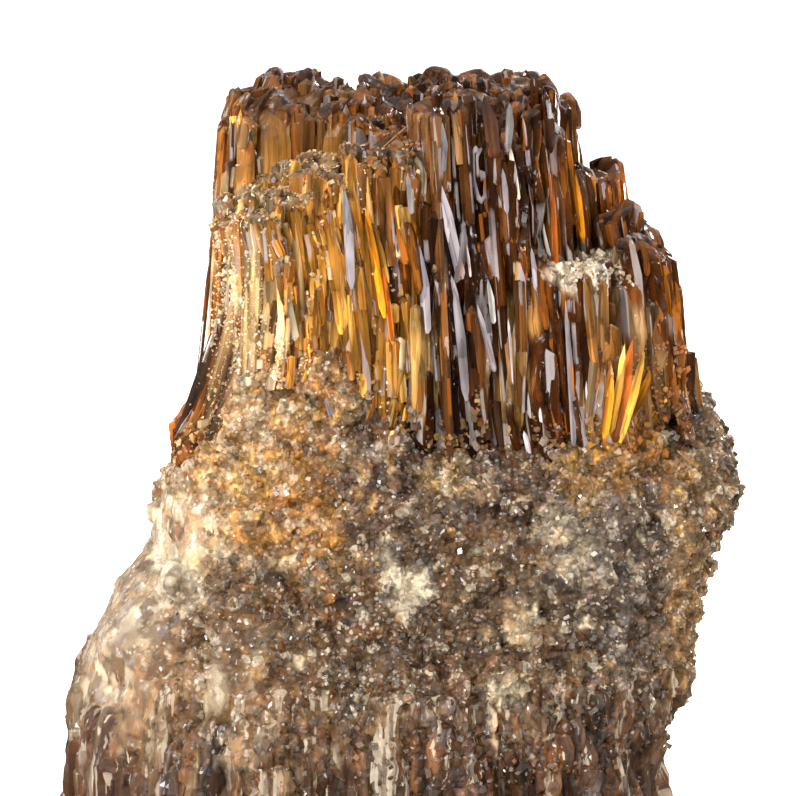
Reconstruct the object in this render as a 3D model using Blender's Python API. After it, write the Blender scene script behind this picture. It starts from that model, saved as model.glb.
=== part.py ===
"""A raw amber-brown crystal specimen, standing on its flat cut base.

Upright columns, intergrown side by side, rise out of a lumpy crust of sugary druse. The columns are
broken off at several heights, so their ends make a shelf, a crest and steps, and they show again as
ribs round the foot. All of it grew together, so it is one solid and one object.

Metres, +Z up, -Y is the front. The origin is the middle of the flat base.
"""

import math
import random

import bmesh
import bpy
from mathutils import Matrix, Vector, noise
from mathutils.bvhtree import BVHTree

MM = 0.001
NAME = "raw_amber"
SEED = 7

# ---- Driving dimensions -------------------------------------------------------------------------

HEIGHT = 86 * MM

# The crust body, as level outlines from the cut base up: height, left, right, front and back.
CRUST_OUTLINES = (
    (0, -32.2, 25.5, -20.0, 19.5),
    (6, -32.6, 26.0, -20.6, 20.0),
    (12, -33.0, 26.6, -21.0, 20.5),
    (18, -32.9, 27.1, -21.1, 20.9),
    (22, -32.5, 27.8, -20.7, 21.0),
    (26, -31.6, 28.8, -19.8, 20.9),
    (30, -30.2, 29.8, -18.6, 20.6),
    (34, -28.2, 30.2, -17.2, 20.2),
    (38, -25.8, 31.0, -15.7, 19.8),
    (41, -24.2, 32.2, -14.5, 19.4),
    (44, -22.6, 33.5, -13.3, 19.0),
    (47, -21.0, 33.0, -12.0, 18.4),
    (50, -19.3, 31.2, -10.4, 17.4),
    (53, -17.6, 28.0, -8.4, 16.0),
    (56, -14.0, 22.0, -5.0, 12.0),
)
CRUST_SIDES = 40
CRUST_SQUARENESS = 2.7
ANGLE_STEPS = 360
CRUST_LUMP = 2.0 * MM
CRUST_LUMP_SIZE = 6 * MM

# How far the crust climbs the columns, by the angle round it from +X: -90 is the front, 180 the left.
CRUST_CLIMBS = ((-180, 6.0), (-150, 9.5), (-128, 7.0), (-105, 0.5), (-80, -3.0), (-40, -1.5), (0, 0.5), (60, 3.0),
                (110, 5.0), (150, 2.0), (180, 6.0))
CLIMB_FROM = 38 * MM
CLIMB_FULL = 53 * MM

# The bundle of columns, as its outline at the level where their places are set out.
PLAN_LEVEL = 62 * MM
COLUMN_PITCH = 4.1 * MM
COLUMN_RADIUS = 2.75 * MM
COLUMN_FOOT = 43 * MM
COLUMN_TAPER = ((0, 0.62), (0.35, 0.97), (1, 0.92))
BUNDLE_OUTLINE = (
    (-17.5, -3.5),
    (-15.5, -8.2),
    (-4.0, -9.6),
    (9.0, -9.6),
    (19.0, -8.4),
    (25.0, -5.6),
    (27.6, 1.0),
    (26.6, 10.0),
    (20.0, 16.0),
    (4.0, 17.6),
    (-12.0, 16.6),
    (-18.0, 11.5),
)

# Where the columns broke off: left, right, front, back, then the break's height at left and right.
# The first patch that holds a column sets its height.
BREAKS = (
    (-22, 3, 6, 19, 82.3, 83.2),  # back wall behind the shelf
    (-22, 3, -11, 6, 70.2, 80.8),  # broken shelf, rising to the right
    (3, 9, -11, 19, 82.6, 84.4),  # left half of the crest
    (9, 15, -5, 19, 84.6, 84.0),  # peak of the crest
    (9, 15, -11, -5, 82.0, 81.0),  # its front row
    (15, 18.6, -6, 19, 83.4, 80.5),  # right end of the crest
    (15, 24, -11, -3.5, 68.2, 66.2),  # dusted ledge at the front right
    (18.6, 23.2, -4, 19, 76.5, 73.6),  # right shoulder
    (23.2, 26.6, -7, 19, 69.2, 66.5),  # outer step
    (26.6, 33, -7, 19, 58.0, 55.0),  # lowest step
)
BREAK_ROUGHNESS = 1.3 * MM

# How far columns lean, in degrees towards +X at the top: at the left edge, the middle and the right.
LEANS = ((-19, 7.0), (-10, 1.0), (0, -3.0), (10, -4.0), (20, -4.5), (29, -9.0))

# Single tall columns that stand out on the skyline: x, y and height of the tip.
SKYLINE_TEETH = (
    (-15.8, 12.0, 83.6),
    (-12.3, 11.0, 85.0),
    (-9.2, 11.4, 85.0),
    (-5.6, 12.0, 83.9),
    (-2.0, 10.6, 83.5),
    (7.6, -1.0, 86.0),
    (10.6, -2.6, 84.6),
    (15.0, 0.0, 85.4),
    (20.6, 4.5, 76.6),
    (25.2, 1.5, 69.6),
)
TOOTH_RADIUS = 1.5 * MM
TOOTH_TAPER = ((0, 1), (1, 0.72))

# Slender blades that stand proud of the column faces, on the front, right, back and left.
FACE_BLADES = 44
BLADE_LENGTHS = (9 * MM, 19 * MM)
BLADE_RADIUS = 1.15 * MM
BLADE_FOOT = (47 * MM, 66 * MM)
BLADE_TAPER = ((0, 0.6), (0.55, 1), (1, 0.55))

# A fan of blades at the lower right that spreads from one foot: angles from upright, in degrees.
FAN_FOOT = (18.8, 47.0)
FAN_ANGLES = (-9, -2, 6, 15, 25, 36)
FAN_LENGTH = 13 * MM

# Ribs of columns that show again round the foot, as angles round the base and heights of their tops.
FOOT_RIBS = 28
RIB_TOPS = (11 * MM, 24 * MM)
RIB_RADIUS = 1.9 * MM
RIB_TAPER = ((0, 1), (1, 0.6))

# Pale nodules on the front of the crust: x, height and radius.
NODULES = (
    (0.7, 34.5, 2.1),
    (-0.6, 38.0, 1.3),
    (11.7, 31.8, 1.7),
    (10.7, 25.2, 1.6),
    (18.0, 37.0, 2.0),
    (20.4, 34.2, 1.9),
    (4.4, 26.6, 1.2),
    (-12.6, 29.0, 1.9),
    (24.2, 25.6, 1.3),
    (-23.5, 36.0, 2.2),
    (6.0, 17.0, 2.0),
    (20.0, 66.4, 1.7),
    (17.4, 66.0, 1.2),
    (23.0, 65.6, 1.1),
)

# Sugary lumps strewn over the crust, and the smaller ones along the line where it meets the columns.
CRUST_LUMPS = 30
CRUST_LUMP_RADII = (0.8 * MM, 1.7 * MM)
SEAM_LUMPS = 16
SEAM_LEVEL = 50.5 * MM

# Hollows: x, height, radius and how deep the centre lies behind the surface.
PITS = (
    (28.3, 50.6, 2.0, 0.4),
    (24.6, 46.4, 1.2, 0.2),
    (-10.0, 44.5, 1.1, 0.1),
    (13.0, 43.0, 1.2, 0.1),
    (-20.0, 31.5, 1.4, 0.1),
)

# How deep small shapes sink into what they grow from, as a share of their radius.
SUNK = 0.45

AMBER_BROWN = (0.27, 0.115, 0.03, 1)
AMBER_ROUGHNESS = 0.28
AMBER_IOR = 1.6


# ---- Small helpers ------------------------------------------------------------------------------


def between(x, stops):
    """The value at x on the line through stops, which are pairs of place and value."""
    if x <= stops[0][0]:
        return stops[0][1]
    for (x0, v0), (x1, v1) in zip(stops, stops[1:]):
        if x <= x1:
            return v0 + (v1 - v0) * (x - x0) / (x1 - x0)
    return stops[-1][1]


def inside(x, y, outline):
    """True if a point lies inside a closed outline."""
    found = False
    for (x0, y0), (x1, y1) in zip(outline, outline[1:] + outline[:1]):
        if (y0 > y) != (y1 > y) and x < x0 + (x1 - x0) * (y - y0) / (y1 - y0):
            found = not found
    return found


def lean_direction(x):
    """The unit direction in which a column at x grows, in the XZ plane."""
    angle = math.radians(between(x / MM, LEANS))
    return Vector((math.sin(angle), 0, math.cos(angle)))


def add_object(name, bm, collection):
    """Turns a bmesh into an object with its faces pointing out."""
    bmesh.ops.recalc_face_normals(bm, faces=bm.faces)
    mesh_data = bpy.data.meshes.new(name)
    bm.to_mesh(mesh_data)
    bm.free()
    obj = bpy.data.objects.new(name, mesh_data)
    collection.objects.link(obj)
    return obj


def helper_collection(name):
    """A collection of shapes that are joined to the crystal or cut from it, and don't show."""
    collection = bpy.data.collections.new(name)
    collection.hide_render = True
    bpy.context.scene.collection.children.link(collection)
    return collection


# ---- Single crystals ----------------------------------------------------------------------------


def add_column(shapes, foot, tip, radius, rng, sides=6, flatness=1.35, widths=((0, 0.96), (1, 0.92))):
    """One closed prism from foot to tip: uneven flat sides and an off-centre break.

    widths gives its width at shares of its length, which is its taper.
    """
    axis = tip - foot
    turn = axis.to_track_quat("Z", "Y").to_matrix() @ Matrix.Rotation(rng.uniform(0, math.pi), 3, "Z")
    corners = []
    for i in range(sides):
        angle = 2 * math.pi * (i + rng.uniform(-0.22, 0.22)) / sides
        reach = radius * rng.uniform(0.88, 1.1)
        corners.append(turn @ Vector((reach * flatness * math.cos(angle), reach * math.sin(angle), 0)))
    slope = turn @ Vector((rng.uniform(-0.5, 0.5), rng.uniform(-0.5, 0.5), 0))
    bm = bmesh.new()
    rings = []
    for share, width in widths:
        ring = []
        for corner in corners:
            at = foot + axis * share + corner * width
            if share == 1.0:
                at += axis.normalized() * (corner.dot(slope) - radius * rng.uniform(0.35, 0.7))
            ring.append(bm.verts.new(at))
        rings.append(ring)
    for low, high in zip(rings, rings[1:]):
        for i in range(sides):
            j = (i + 1) % sides
            bm.faces.new((low[i], low[j], high[j], high[i]))
    bm.faces.new(tuple(reversed(rings[0])))
    apex = bm.verts.new(tip + corners[rng.randrange(sides)] * rng.uniform(0.1, 0.45))
    for i in range(sides):
        bm.faces.new((rings[-1][i], rings[-1][(i + 1) % sides], apex))
    add_object("column", bm, shapes)


def add_blade(shapes, foot, direction, length, radius, rng):
    """One closed slender blade that tapers at both ends, like a splinter."""
    tip = foot + direction * length
    add_column(shapes, foot, tip, radius, rng, sides=5, flatness=1.5, widths=BLADE_TAPER)


def add_lump(shapes, centre, radius, rng, stretch=1.0):
    """One closed blocky grain: a coarse ball with its corners pushed in and out."""
    bm = bmesh.new()
    turn = Matrix.Rotation(rng.uniform(0, 2 * math.pi), 4, Vector((rng.random(), rng.random(), 1)))
    made = bmesh.ops.create_icosphere(bm, subdivisions=1, radius=radius, matrix=Matrix.Translation(centre) @ turn)
    for vert in made["verts"]:
        offset = (vert.co - centre) * rng.uniform(0.72, 1.18)
        offset.z *= stretch
        vert.co = centre + offset
    add_object("lump", bm, shapes)


# ---- The crust body -----------------------------------------------------------------------------


def crust_outline_at(level):
    """Left, right, front and back of the crust body at a height."""
    heights = [row[0] for row in CRUST_OUTLINES]
    return [between(level / MM, list(zip(heights, column))) * MM for column in list(zip(*CRUST_OUTLINES))[1:]]


def climb(angle, level):
    """How far a ring of the crust is lifted at an angle, which grows from nothing to full height."""
    degrees = (math.degrees(angle) + 180) % 360 - 180
    share = between(level, ((CLIMB_FROM, 0), (CLIMB_FULL, 1)))
    return between(degrees, CRUST_CLIMBS) * MM * share


def crust_point(angle, level):
    """A point on the crust body's wall: a rounded rectangle with soft lumps."""
    left, right, front, back = crust_outline_at(level)
    power = 2 / CRUST_SQUARENESS
    c, s = math.cos(angle), math.sin(angle)
    x = math.copysign(abs(c) ** power, c)
    y = math.copysign(abs(s) ** power, s)
    wall_x = (left + right) / 2 + x * (right - left) / 2
    wall_y = (front + back) / 2 + y * (back - front) / 2
    at = Vector((wall_x, wall_y, level + climb(angle, level)))
    lump = noise.noise(at / CRUST_LUMP_SIZE) + 0.6 * noise.noise(at / CRUST_LUMP_SIZE * 2.3)
    return at + Vector((x, y, 0)).normalized() * lump * CRUST_LUMP


def even_angles(count, shake=0.0, rng=None):
    """Angles round the crust whose points lie equal steps apart along the foot of its wall."""
    angles = [2 * math.pi * i / ANGLE_STEPS for i in range(ANGLE_STEPS + 1)]
    points = [crust_point(angle, 0.0) for angle in angles]
    walked = [0.0]
    for a, b in zip(points, points[1:]):
        walked.append(walked[-1] + (b - a).length)
    stops = list(zip(walked, angles))
    for i in range(count):
        step = i + (rng.uniform(-shake, shake) if rng else 0.0)
        yield between(walked[-1] * (step / count % 1), stops)


def crust_body():
    """The lumpy lower mass, as closed rings from the cut base up into the columns."""
    bm = bmesh.new()
    angles = list(even_angles(CRUST_SIDES))
    rings = []
    for level in [row[0] * MM for row in CRUST_OUTLINES]:
        rings.append([bm.verts.new(crust_point(angle, level)) for angle in angles])
    for low, high in zip(rings, rings[1:]):
        for i in range(CRUST_SIDES):
            j = (i + 1) % CRUST_SIDES
            bm.faces.new((low[i], low[j], high[j], high[i]))
    bm.faces.new(tuple(reversed(rings[0])))
    bm.faces.new(tuple(rings[-1]))
    return add_object(NAME, bm, bpy.context.scene.collection)


# ---- The columns --------------------------------------------------------------------------------


def break_height(x, y, rng):
    """The height at which a column at x, y (in millimetres) broke off, or None outside every patch."""
    for left, right, front, back, low, high in BREAKS:
        if left <= x < right and front <= y < back:
            share = (x - left) / (right - left)
            rise = min(0.12 * (y - front), 1.6)
            return (low + (high - low) * share + rise) * MM + rng.gauss(0, BREAK_ROUGHNESS / 2)
    return None


def column_places(rng):
    """Points of a shaken hexagonal grid inside the bundle's outline, in millimetres."""
    pitch = COLUMN_PITCH / MM
    row_step = pitch * math.sqrt(3) / 2
    y, row = -11.0, 0
    while y < 19:
        x = -20.0 + (row % 2) * pitch / 2
        while x < 31:
            px, py = x + rng.uniform(-0.5, 0.5), y + rng.uniform(-0.5, 0.5)
            if inside(px, py, BUNDLE_OUTLINE):
                yield px, py
            x += pitch
        y, row = y + row_step, row + 1


def through(x, y, level, height):
    """The point at a height on the column that passes x, y at a level."""
    direction = lean_direction(x)
    return Vector((x, y, level)) + direction * ((height - level) / direction.z)


def add_bundle(shapes, rng):
    """Every upright column of the bundle, then the teeth on the skyline."""
    for px, py in column_places(rng):
        top = break_height(px, py, rng)
        if top is None:
            continue
        x, y = px * MM, py * MM
        top = min(top, HEIGHT - 1.5 * MM)
        foot = through(x, y, PLAN_LEVEL, COLUMN_FOOT)
        tip = through(x, y, PLAN_LEVEL, top)
        add_column(shapes, foot, tip, COLUMN_RADIUS * rng.uniform(0.9, 1.08), rng, widths=COLUMN_TAPER)
    for px, py, top in SKYLINE_TEETH:
        x, y, top = px * MM, py * MM, top * MM
        lean = lean_direction(x)
        tip = Vector((x, y, top))
        foot = tip - lean * (16 * MM)
        add_column(shapes, foot, tip, TOOTH_RADIUS * rng.uniform(0.9, 1.2), rng, widths=TOOTH_TAPER)


def wall_point(tree, level, angle):
    """Where a level line from outside meets what has been built, or None, with the way out there."""
    centre = Vector((4 * MM, 4 * MM, level))
    out = Vector((math.sin(angle), -math.cos(angle), 0))
    hit, normal, _, _ = tree.ray_cast(centre + out * 0.2, -out)
    return (hit, out) if hit else (None, out)


def add_face_blades(shapes, tree, rng):
    """Slender blades half sunk in the bundle's upright faces, thickest at the front."""
    for i in range(FACE_BLADES):
        angle = 2 * math.pi * (i + rng.uniform(-0.4, 0.4)) / FACE_BLADES
        level = rng.uniform(*BLADE_FOOT)
        hit, out = wall_point(tree, level + 4 * MM, angle)
        if hit is None:
            continue
        length = rng.uniform(*BLADE_LENGTHS)
        radius = BLADE_RADIUS * rng.uniform(0.75, 1.25)
        direction = (lean_direction(hit.x) + Vector((rng.uniform(-0.08, 0.08), 0, 0))).normalized()
        foot = hit - out * radius * SUNK - direction * 4 * MM
        reached, _ = wall_point(tree, min(level + length * 0.8, 80 * MM), angle)
        if reached is None or (reached - hit).dot(out) < -1.5 * MM:
            length *= 0.6
        add_blade(shapes, foot, direction, length, radius, rng)


def add_fan(shapes, tree, rng):
    """Blades that spread from one foot at the lower right of the front."""
    foot_x, foot_z = FAN_FOOT[0] * MM, FAN_FOOT[1] * MM
    for degrees in FAN_ANGLES:
        angle = math.radians(degrees)
        direction = Vector((math.sin(angle), 0.05, math.cos(angle))).normalized()
        foot = Vector((foot_x + rng.uniform(-0.8, 0.8) * MM, 0, foot_z))
        mid = foot + direction * FAN_LENGTH / 2
        hit, _, _, _ = tree.ray_cast(Vector((mid.x, -0.2, mid.z)), Vector((0, 1, 0)))
        if hit is None:
            continue
        foot.y = hit.y + 0.3 * MM
        add_blade(shapes, foot, direction, FAN_LENGTH * rng.uniform(0.85, 1.15), BLADE_RADIUS, rng)


def add_foot_ribs(shapes, rng):
    """Columns that show again round the foot, half sunk in the crust and cut off level with the base."""
    for angle in even_angles(FOOT_RIBS, 0.3, rng):
        top = rng.uniform(*RIB_TOPS)
        foot = crust_point(angle, 0.0)
        tip = crust_point(angle, top)
        inward = Vector((-foot.x, -foot.y, 0)).normalized() * RIB_RADIUS
        below = Vector((0, 0, -2 * MM))
        radius = RIB_RADIUS * rng.uniform(0.85, 1.3)
        start = foot + inward * 0.5 + below
        add_column(shapes, start, tip + inward * 1.1, radius, rng, sides=5, widths=RIB_TAPER)


# ---- Lumps, nodules and pits --------------------------------------------------------------------


def front_point(tree, x, level):
    """Where a line from the front meets the solid at x and a height."""
    hit, _, _, _ = tree.ray_cast(Vector((x, -0.2, level)), Vector((0, 1, 0)))
    return hit


def add_crust_lumps(shapes, rng):
    """Sugary lumps over the crust, sunk part way in."""
    for i in range(CRUST_LUMPS):
        angle = 2 * math.pi * (i * 0.618034 % 1)
        level = (9 + 40 * rng.random()) * MM
        radius = rng.uniform(*CRUST_LUMP_RADII)
        at = crust_point(angle, level)
        inward = Vector((-at.x, -at.y, 0)).normalized() * radius * SUNK
        add_lump(shapes, at + inward, radius, rng)


def add_seam_lumps(shapes, tree, rng):
    """Smaller lumps in a wandering line where the crust ends on the columns."""
    for i in range(SEAM_LUMPS):
        angle = 2 * math.pi * (i + rng.uniform(-0.3, 0.3)) / SEAM_LUMPS
        level = SEAM_LEVEL + rng.gauss(0, 1.3) * MM
        hit, out = wall_point(tree, level, angle)
        if hit is not None:
            radius = rng.uniform(0.7, 1.3) * MM
            add_lump(shapes, hit - out * radius * SUNK, radius, rng)


def add_nodules(shapes, tree, rng):
    """The pale nodules on the front."""
    for x, level, radius in NODULES:
        hit = front_point(tree, x * MM, level * MM)
        if hit is not None:
            add_lump(shapes, hit + Vector((0, radius * MM * SUNK, 0)), radius * MM, rng, stretch=1.1)


def add_pits(cutters, tree, rng):
    """The hollows, as lumps that are cut away."""
    for x, level, radius, depth in PITS:
        hit = front_point(tree, x * MM, level * MM)
        if hit is not None:
            add_lump(cutters, hit + Vector((0, depth * MM, 0)), radius * MM, rng)


def add_base_block(cutters):
    """A block under the base that cuts everything off flat at height 0."""
    bm = bmesh.new()
    bmesh.ops.create_cube(bm, size=0.1, matrix=Matrix.Translation((0, 0, -0.05)))
    add_object("base_block", bm, cutters)


# ---- Putting it together ------------------------------------------------------------------------


def boolean(obj, collection, operation):
    """Joins every shape of a collection to the object or cuts them away."""
    for shape in collection.objects:
        shape.hide_render = True
        shape.display_type = "WIRE"
    modifier = obj.modifiers.new(collection.name, "BOOLEAN")
    modifier.operation = operation
    modifier.operand_type = "COLLECTION"
    modifier.collection = collection


def centre_over_base(obj):
    """Moves the mesh so that the middle of its box stands over the origin."""
    for axis in (0, 1):
        places = [vert.co[axis] for vert in obj.data.vertices]
        middle = (min(places) + max(places)) / 2
        for vert in obj.data.vertices:
            vert.co[axis] -= middle


def amber_material():
    """Deep amber-brown crystal with a soft shine."""
    material = bpy.data.materials.new("amber_crystal")
    material.use_nodes = True
    shader = material.node_tree.nodes["Principled BSDF"]
    shader.inputs["Base Color"].default_value = AMBER_BROWN
    shader.inputs["Roughness"].default_value = AMBER_ROUGHNESS
    shader.inputs["IOR"].default_value = AMBER_IOR
    shader.inputs["Metallic"].default_value = 0.0
    return material


def shells_of(bm):
    """The closed shells of a bmesh, each as a set of faces that join along their edges."""
    found, left = [], set(bm.faces)
    while left:
        start = left.pop()
        shell, waiting = {start}, [start]
        while waiting:
            for edge in waiting.pop().edges:
                for face in edge.link_faces:
                    if face in left:
                        left.remove(face)
                        shell.add(face)
                        waiting.append(face)
        found.append(shell)
    return found


def keep_outer_shell(obj):
    """Applies the Booleans and drops the small gaps that they seal in between the columns."""
    graph = bpy.context.evaluated_depsgraph_get()
    bm = bmesh.new()
    bm.from_mesh(obj.evaluated_get(graph).to_mesh())
    shells = sorted(shells_of(bm), key=len)
    for shell in shells[:-1]:
        bmesh.ops.delete(bm, geom=list(shell), context="FACES")
    obj.modifiers.clear()
    bm.to_mesh(obj.data)
    bm.free()


def tree_of(objects):
    """A search tree over the meshes of several objects."""
    bm = bmesh.new()
    for obj in objects:
        bm.from_mesh(obj.data)
    tree = BVHTree.FromBMesh(bm)
    bm.free()
    return tree


def build():
    for obj in list(bpy.data.objects):
        bpy.data.objects.remove(obj)
    rng = random.Random(SEED)

    crystal = crust_body()
    grown = helper_collection("grown")
    add_bundle(grown, rng)
    wall = tree_of([crystal, *grown.objects])
    add_face_blades(grown, wall, rng)
    add_fan(grown, wall, rng)
    add_foot_ribs(grown, rng)
    add_crust_lumps(grown, rng)
    add_seam_lumps(grown, wall, rng)
    add_nodules(grown, wall, rng)

    cut = helper_collection("cut")
    add_pits(cut, wall, rng)
    add_base_block(cut)

    boolean(crystal, grown, "UNION")
    boolean(crystal, cut, "DIFFERENCE")
    keep_outer_shell(crystal)
    centre_over_base(crystal)
    crystal.data.materials.append(amber_material())


build()
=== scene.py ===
# %% [markdown]
# # Dressing an amber-brown crystal specimen
# The specimen is one mass of upright, glassy, amber-brown columns that grow out of a sugary crust. Its
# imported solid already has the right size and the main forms, so it is opened as a fixed frame and is
# never changed. Everything below is grown on it: the clear crystal, the blades, the crust and its grains.

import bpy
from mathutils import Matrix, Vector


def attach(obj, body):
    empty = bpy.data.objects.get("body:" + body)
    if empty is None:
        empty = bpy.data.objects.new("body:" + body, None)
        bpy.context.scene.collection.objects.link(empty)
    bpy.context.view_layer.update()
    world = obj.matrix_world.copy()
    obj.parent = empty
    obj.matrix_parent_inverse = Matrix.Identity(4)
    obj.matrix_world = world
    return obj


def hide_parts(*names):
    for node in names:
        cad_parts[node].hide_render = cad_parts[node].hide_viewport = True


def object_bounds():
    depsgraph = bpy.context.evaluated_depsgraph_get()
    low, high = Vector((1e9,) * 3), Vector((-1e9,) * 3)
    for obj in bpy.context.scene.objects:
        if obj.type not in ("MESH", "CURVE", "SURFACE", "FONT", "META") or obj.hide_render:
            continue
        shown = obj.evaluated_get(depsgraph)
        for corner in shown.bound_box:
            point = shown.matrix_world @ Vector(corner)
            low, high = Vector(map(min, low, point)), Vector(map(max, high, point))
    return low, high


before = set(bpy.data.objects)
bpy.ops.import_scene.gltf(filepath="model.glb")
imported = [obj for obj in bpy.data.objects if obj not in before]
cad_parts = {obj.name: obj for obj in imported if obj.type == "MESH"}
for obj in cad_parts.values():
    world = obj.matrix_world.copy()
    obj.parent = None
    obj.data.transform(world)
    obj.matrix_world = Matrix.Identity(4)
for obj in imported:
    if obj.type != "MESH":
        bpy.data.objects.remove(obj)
cad_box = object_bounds()
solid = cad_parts["raw_amber"]
print("solid from", [round(v, 4) for v in cad_box[0]], "to", [round(v, 4) for v in cad_box[1]])

# %% [markdown]
# The rest of the tools: Blender itself, numpy for the places of thousands of small crystals, and a
# search tree, which finds where a line meets a surface. All sizes below are real ones, in millimetres
# turned to metres by `MM`.

# %% Tools and units
import contextlib
import math

import bmesh
import bpy
import numpy as np
from mathutils import Vector, kdtree, noise
from mathutils.bvhtree import BVHTree

MM = 0.001
HEIGHT = cad_box[1].z
print("height", round(HEIGHT / MM, 1), "mm")

# %% [markdown]
# ## Camera
# A specimen this small is taken with a long lens, from a little above. The lens could be short and near,
# but that would swell the front of the crust, so it stands 32 cm away with a 145 mm lens. The lower part
# of the crust runs out of the picture, as in a close-up of a piece in the hand.

# %% Camera
CAMERA_DISTANCE = 320 * MM
CAMERA_RISE = math.radians(12)
CAMERA_LENS = 145.0
CAMERA_AIM = Vector((0.0, 0.0, 52.4 * MM))

away = Vector((0, -math.cos(CAMERA_RISE), math.sin(CAMERA_RISE))) * CAMERA_DISTANCE
bpy.ops.object.camera_add(location=CAMERA_AIM + away, rotation=(math.pi / 2 - CAMERA_RISE, 0, 0))
camera = bpy.context.object
camera.data.lens = CAMERA_LENS
camera.data.clip_start = 1 * MM
bpy.context.scene.camera = camera
print("camera at", [round(v, 3) for v in camera.location])

# %% [markdown]
# ## Colours and nodes
# Every colour is picked as an sRGB hex value, as in a paint program, and one function turns it to the
# linear numbers that shaders use. One more small function adds a shader node with its settings and links,
# which keeps each material short enough to read.

# %% Helpers for materials
def linear(hex_colour):
    """The linear red, green and blue of an sRGB hex colour."""
    found = []
    for i in (1, 3, 5):
        value = int(hex_colour[i : i + 2], 16) / 255
        found.append(value / 12.92 if value <= 0.04045 else ((value + 0.055) / 1.055) ** 2.4)
    return found


def add_node(tree, kind, settings=None, links=None):
    """Adds a shader node, sets its properties and input values, and links outputs to its inputs."""
    made = tree.nodes.new("ShaderNode" + kind)
    for name, value in (settings or {}).items():
        if isinstance(name, int) or name in made.inputs:
            made.inputs[name].default_value = value
        else:
            setattr(made, name, value)
    for name, output in (links or {}).items():
        tree.links.new(output, made.inputs[name])
    return made


def new_material(name):
    """A new material with its Principled shader and its output, all other nodes left out."""
    material = bpy.data.materials.new(name)
    material.use_nodes = True
    tree = material.node_tree
    return material, tree, tree.nodes["Principled BSDF"], tree.nodes["Material Output"]


print("pale cream is", [round(v, 3) for v in linear("#efe0c4")])

# %% [markdown]
# ## Floor
# Clear crystal is best shown on a light table: a pale floor that shines a little, so that light also comes
# up and through the thin edges. Upright glassy faces would mirror that bright floor and turn grey, and a
# photographer lays black card in front of them. Hiding the floor from mirror rays does the same.

# %% Floor
FLOOR_SIZE = 8.0
FLOOR_GLOW = 0.62
bpy.ops.mesh.primitive_plane_add(size=FLOOR_SIZE, location=(0, 0, 0))
floor = bpy.context.object
floor.name = "floor"
floor_paint, tree, shader, _ = new_material("pale_matt_paint")
grit = add_node(tree, "TexNoise", {"Scale": 60.0, "Detail": 4.0})
tone = add_node(tree, "MapRange", {"To Min": 0.86, "To Max": 0.92}, {"Value": grit.outputs["Fac"]})
tree.links.new(tone.outputs["Result"], shader.inputs["Base Color"])
shader.inputs["Roughness"].default_value = 0.7
shader.inputs["Emission Color"].default_value = (1, 1, 1, 1)
shader.inputs["Emission Strength"].default_value = FLOOR_GLOW
floor.data.materials.append(floor_paint)
floor.visible_glossy = False
print("floor", FLOOR_SIZE, "m wide")

# %% [markdown]
# ## Room light
# The room is white overhead and dim at eye level and below, as in a studio with a lit ceiling. One large
# soft box hangs high at the front left, and one behind at the right shines through the thin edges. Tall
# narrow strips stand all round, because an upright crystal face shows a strip as one long pale glint.

# %% Room light
CEILING_LIGHT = 0.85
LOW_LIGHT = 0.10
world = bpy.data.worlds.new("white_room")
bpy.context.scene.world = world
world.use_nodes = True
room = world.node_tree
look = add_node(room, "TexCoord")
height = add_node(room, "SeparateXYZ", links={0: look.outputs["Generated"]})
glow = add_node(room, "MapRange", {"From Min": -0.1, "From Max": 0.7, "To Min": LOW_LIGHT,
                                   "To Max": CEILING_LIGHT}, {"Value": height.outputs["Z"]})
room.links.new(glow.outputs["Result"], room.nodes["Background"].inputs["Strength"])
room.nodes["Background"].inputs["Color"].default_value = (1, 1, 1, 1)
bpy.context.scene.view_settings.view_transform = "Standard"


def soft_box(name, wide, tall, watts, place, aim):
    """A rectangular soft light that looks from one place at another."""
    turn = (aim - place).to_track_quat("-Z", "Y").to_euler()
    bpy.ops.object.light_add(type="AREA", location=place, rotation=turn)
    box = bpy.context.object
    box.name = name
    box.data.shape = "RECTANGLE"
    box.data.size = wide
    box.data.size_y = tall
    box.data.energy = watts


soft_box("key_box", 0.16, 0.16, 1.9, Vector((-0.22, -0.36, 0.40)), CAMERA_AIM)
soft_box("back_box", 0.20, 0.20, 2.4, Vector((0.26, 0.36, 0.30)), CAMERA_AIM)

# Each strip stands on the floor, at an angle from the front, in degrees, with its power in watts.
STRIPS = ((-62, 0.45), (-28, 0.3), (34, 0.4), (80, 0.4), (160, 0.5), (-125, 0.5))
STRIP_DISTANCE = 0.5
STRIP_SIZE = (0.035, 0.40)
for degrees, watts in STRIPS:
    angle = math.radians(degrees)
    place = Vector((math.sin(angle), -math.cos(angle), 0)) * STRIP_DISTANCE
    place.z = STRIP_SIZE[1] / 2
    soft_box(f"strip_{degrees}", *STRIP_SIZE, watts, place, Vector((0, 0, place.z)))
print(2 + len(STRIPS), "soft boxes")

# %% [markdown]
# ## Helpers for pieces
# Operators act on everything that is selected, and opening the frame leaves its node selected, so each
# piece starts by deselecting everything. A finished piece rides on the specimen's one body and gets its
# material.

# %% Helpers for pieces
def deselect():
    """Leaves edit mode if it is on, and deselects every object."""
    if bpy.context.object and bpy.context.object.mode != "OBJECT":
        bpy.ops.object.mode_set(mode="OBJECT")
    bpy.ops.object.select_all(action="DESELECT")


def choose(piece):
    """Makes a piece the only selected object and the active one."""
    deselect()
    piece.select_set(True)
    bpy.context.view_layer.objects.active = piece


@contextlib.contextmanager
def editing(piece):
    """Edit mode on one piece, with all of it selected, for as long as the block lasts."""
    choose(piece)
    bpy.ops.object.mode_set(mode="EDIT")
    bpy.ops.mesh.select_all(action="SELECT")
    yield
    bpy.ops.object.mode_set(mode="OBJECT")


def triangles_in(piece):
    """How many triangles a piece has."""
    return sum(len(face.vertices) - 2 for face in piece.data.polygons)


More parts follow.
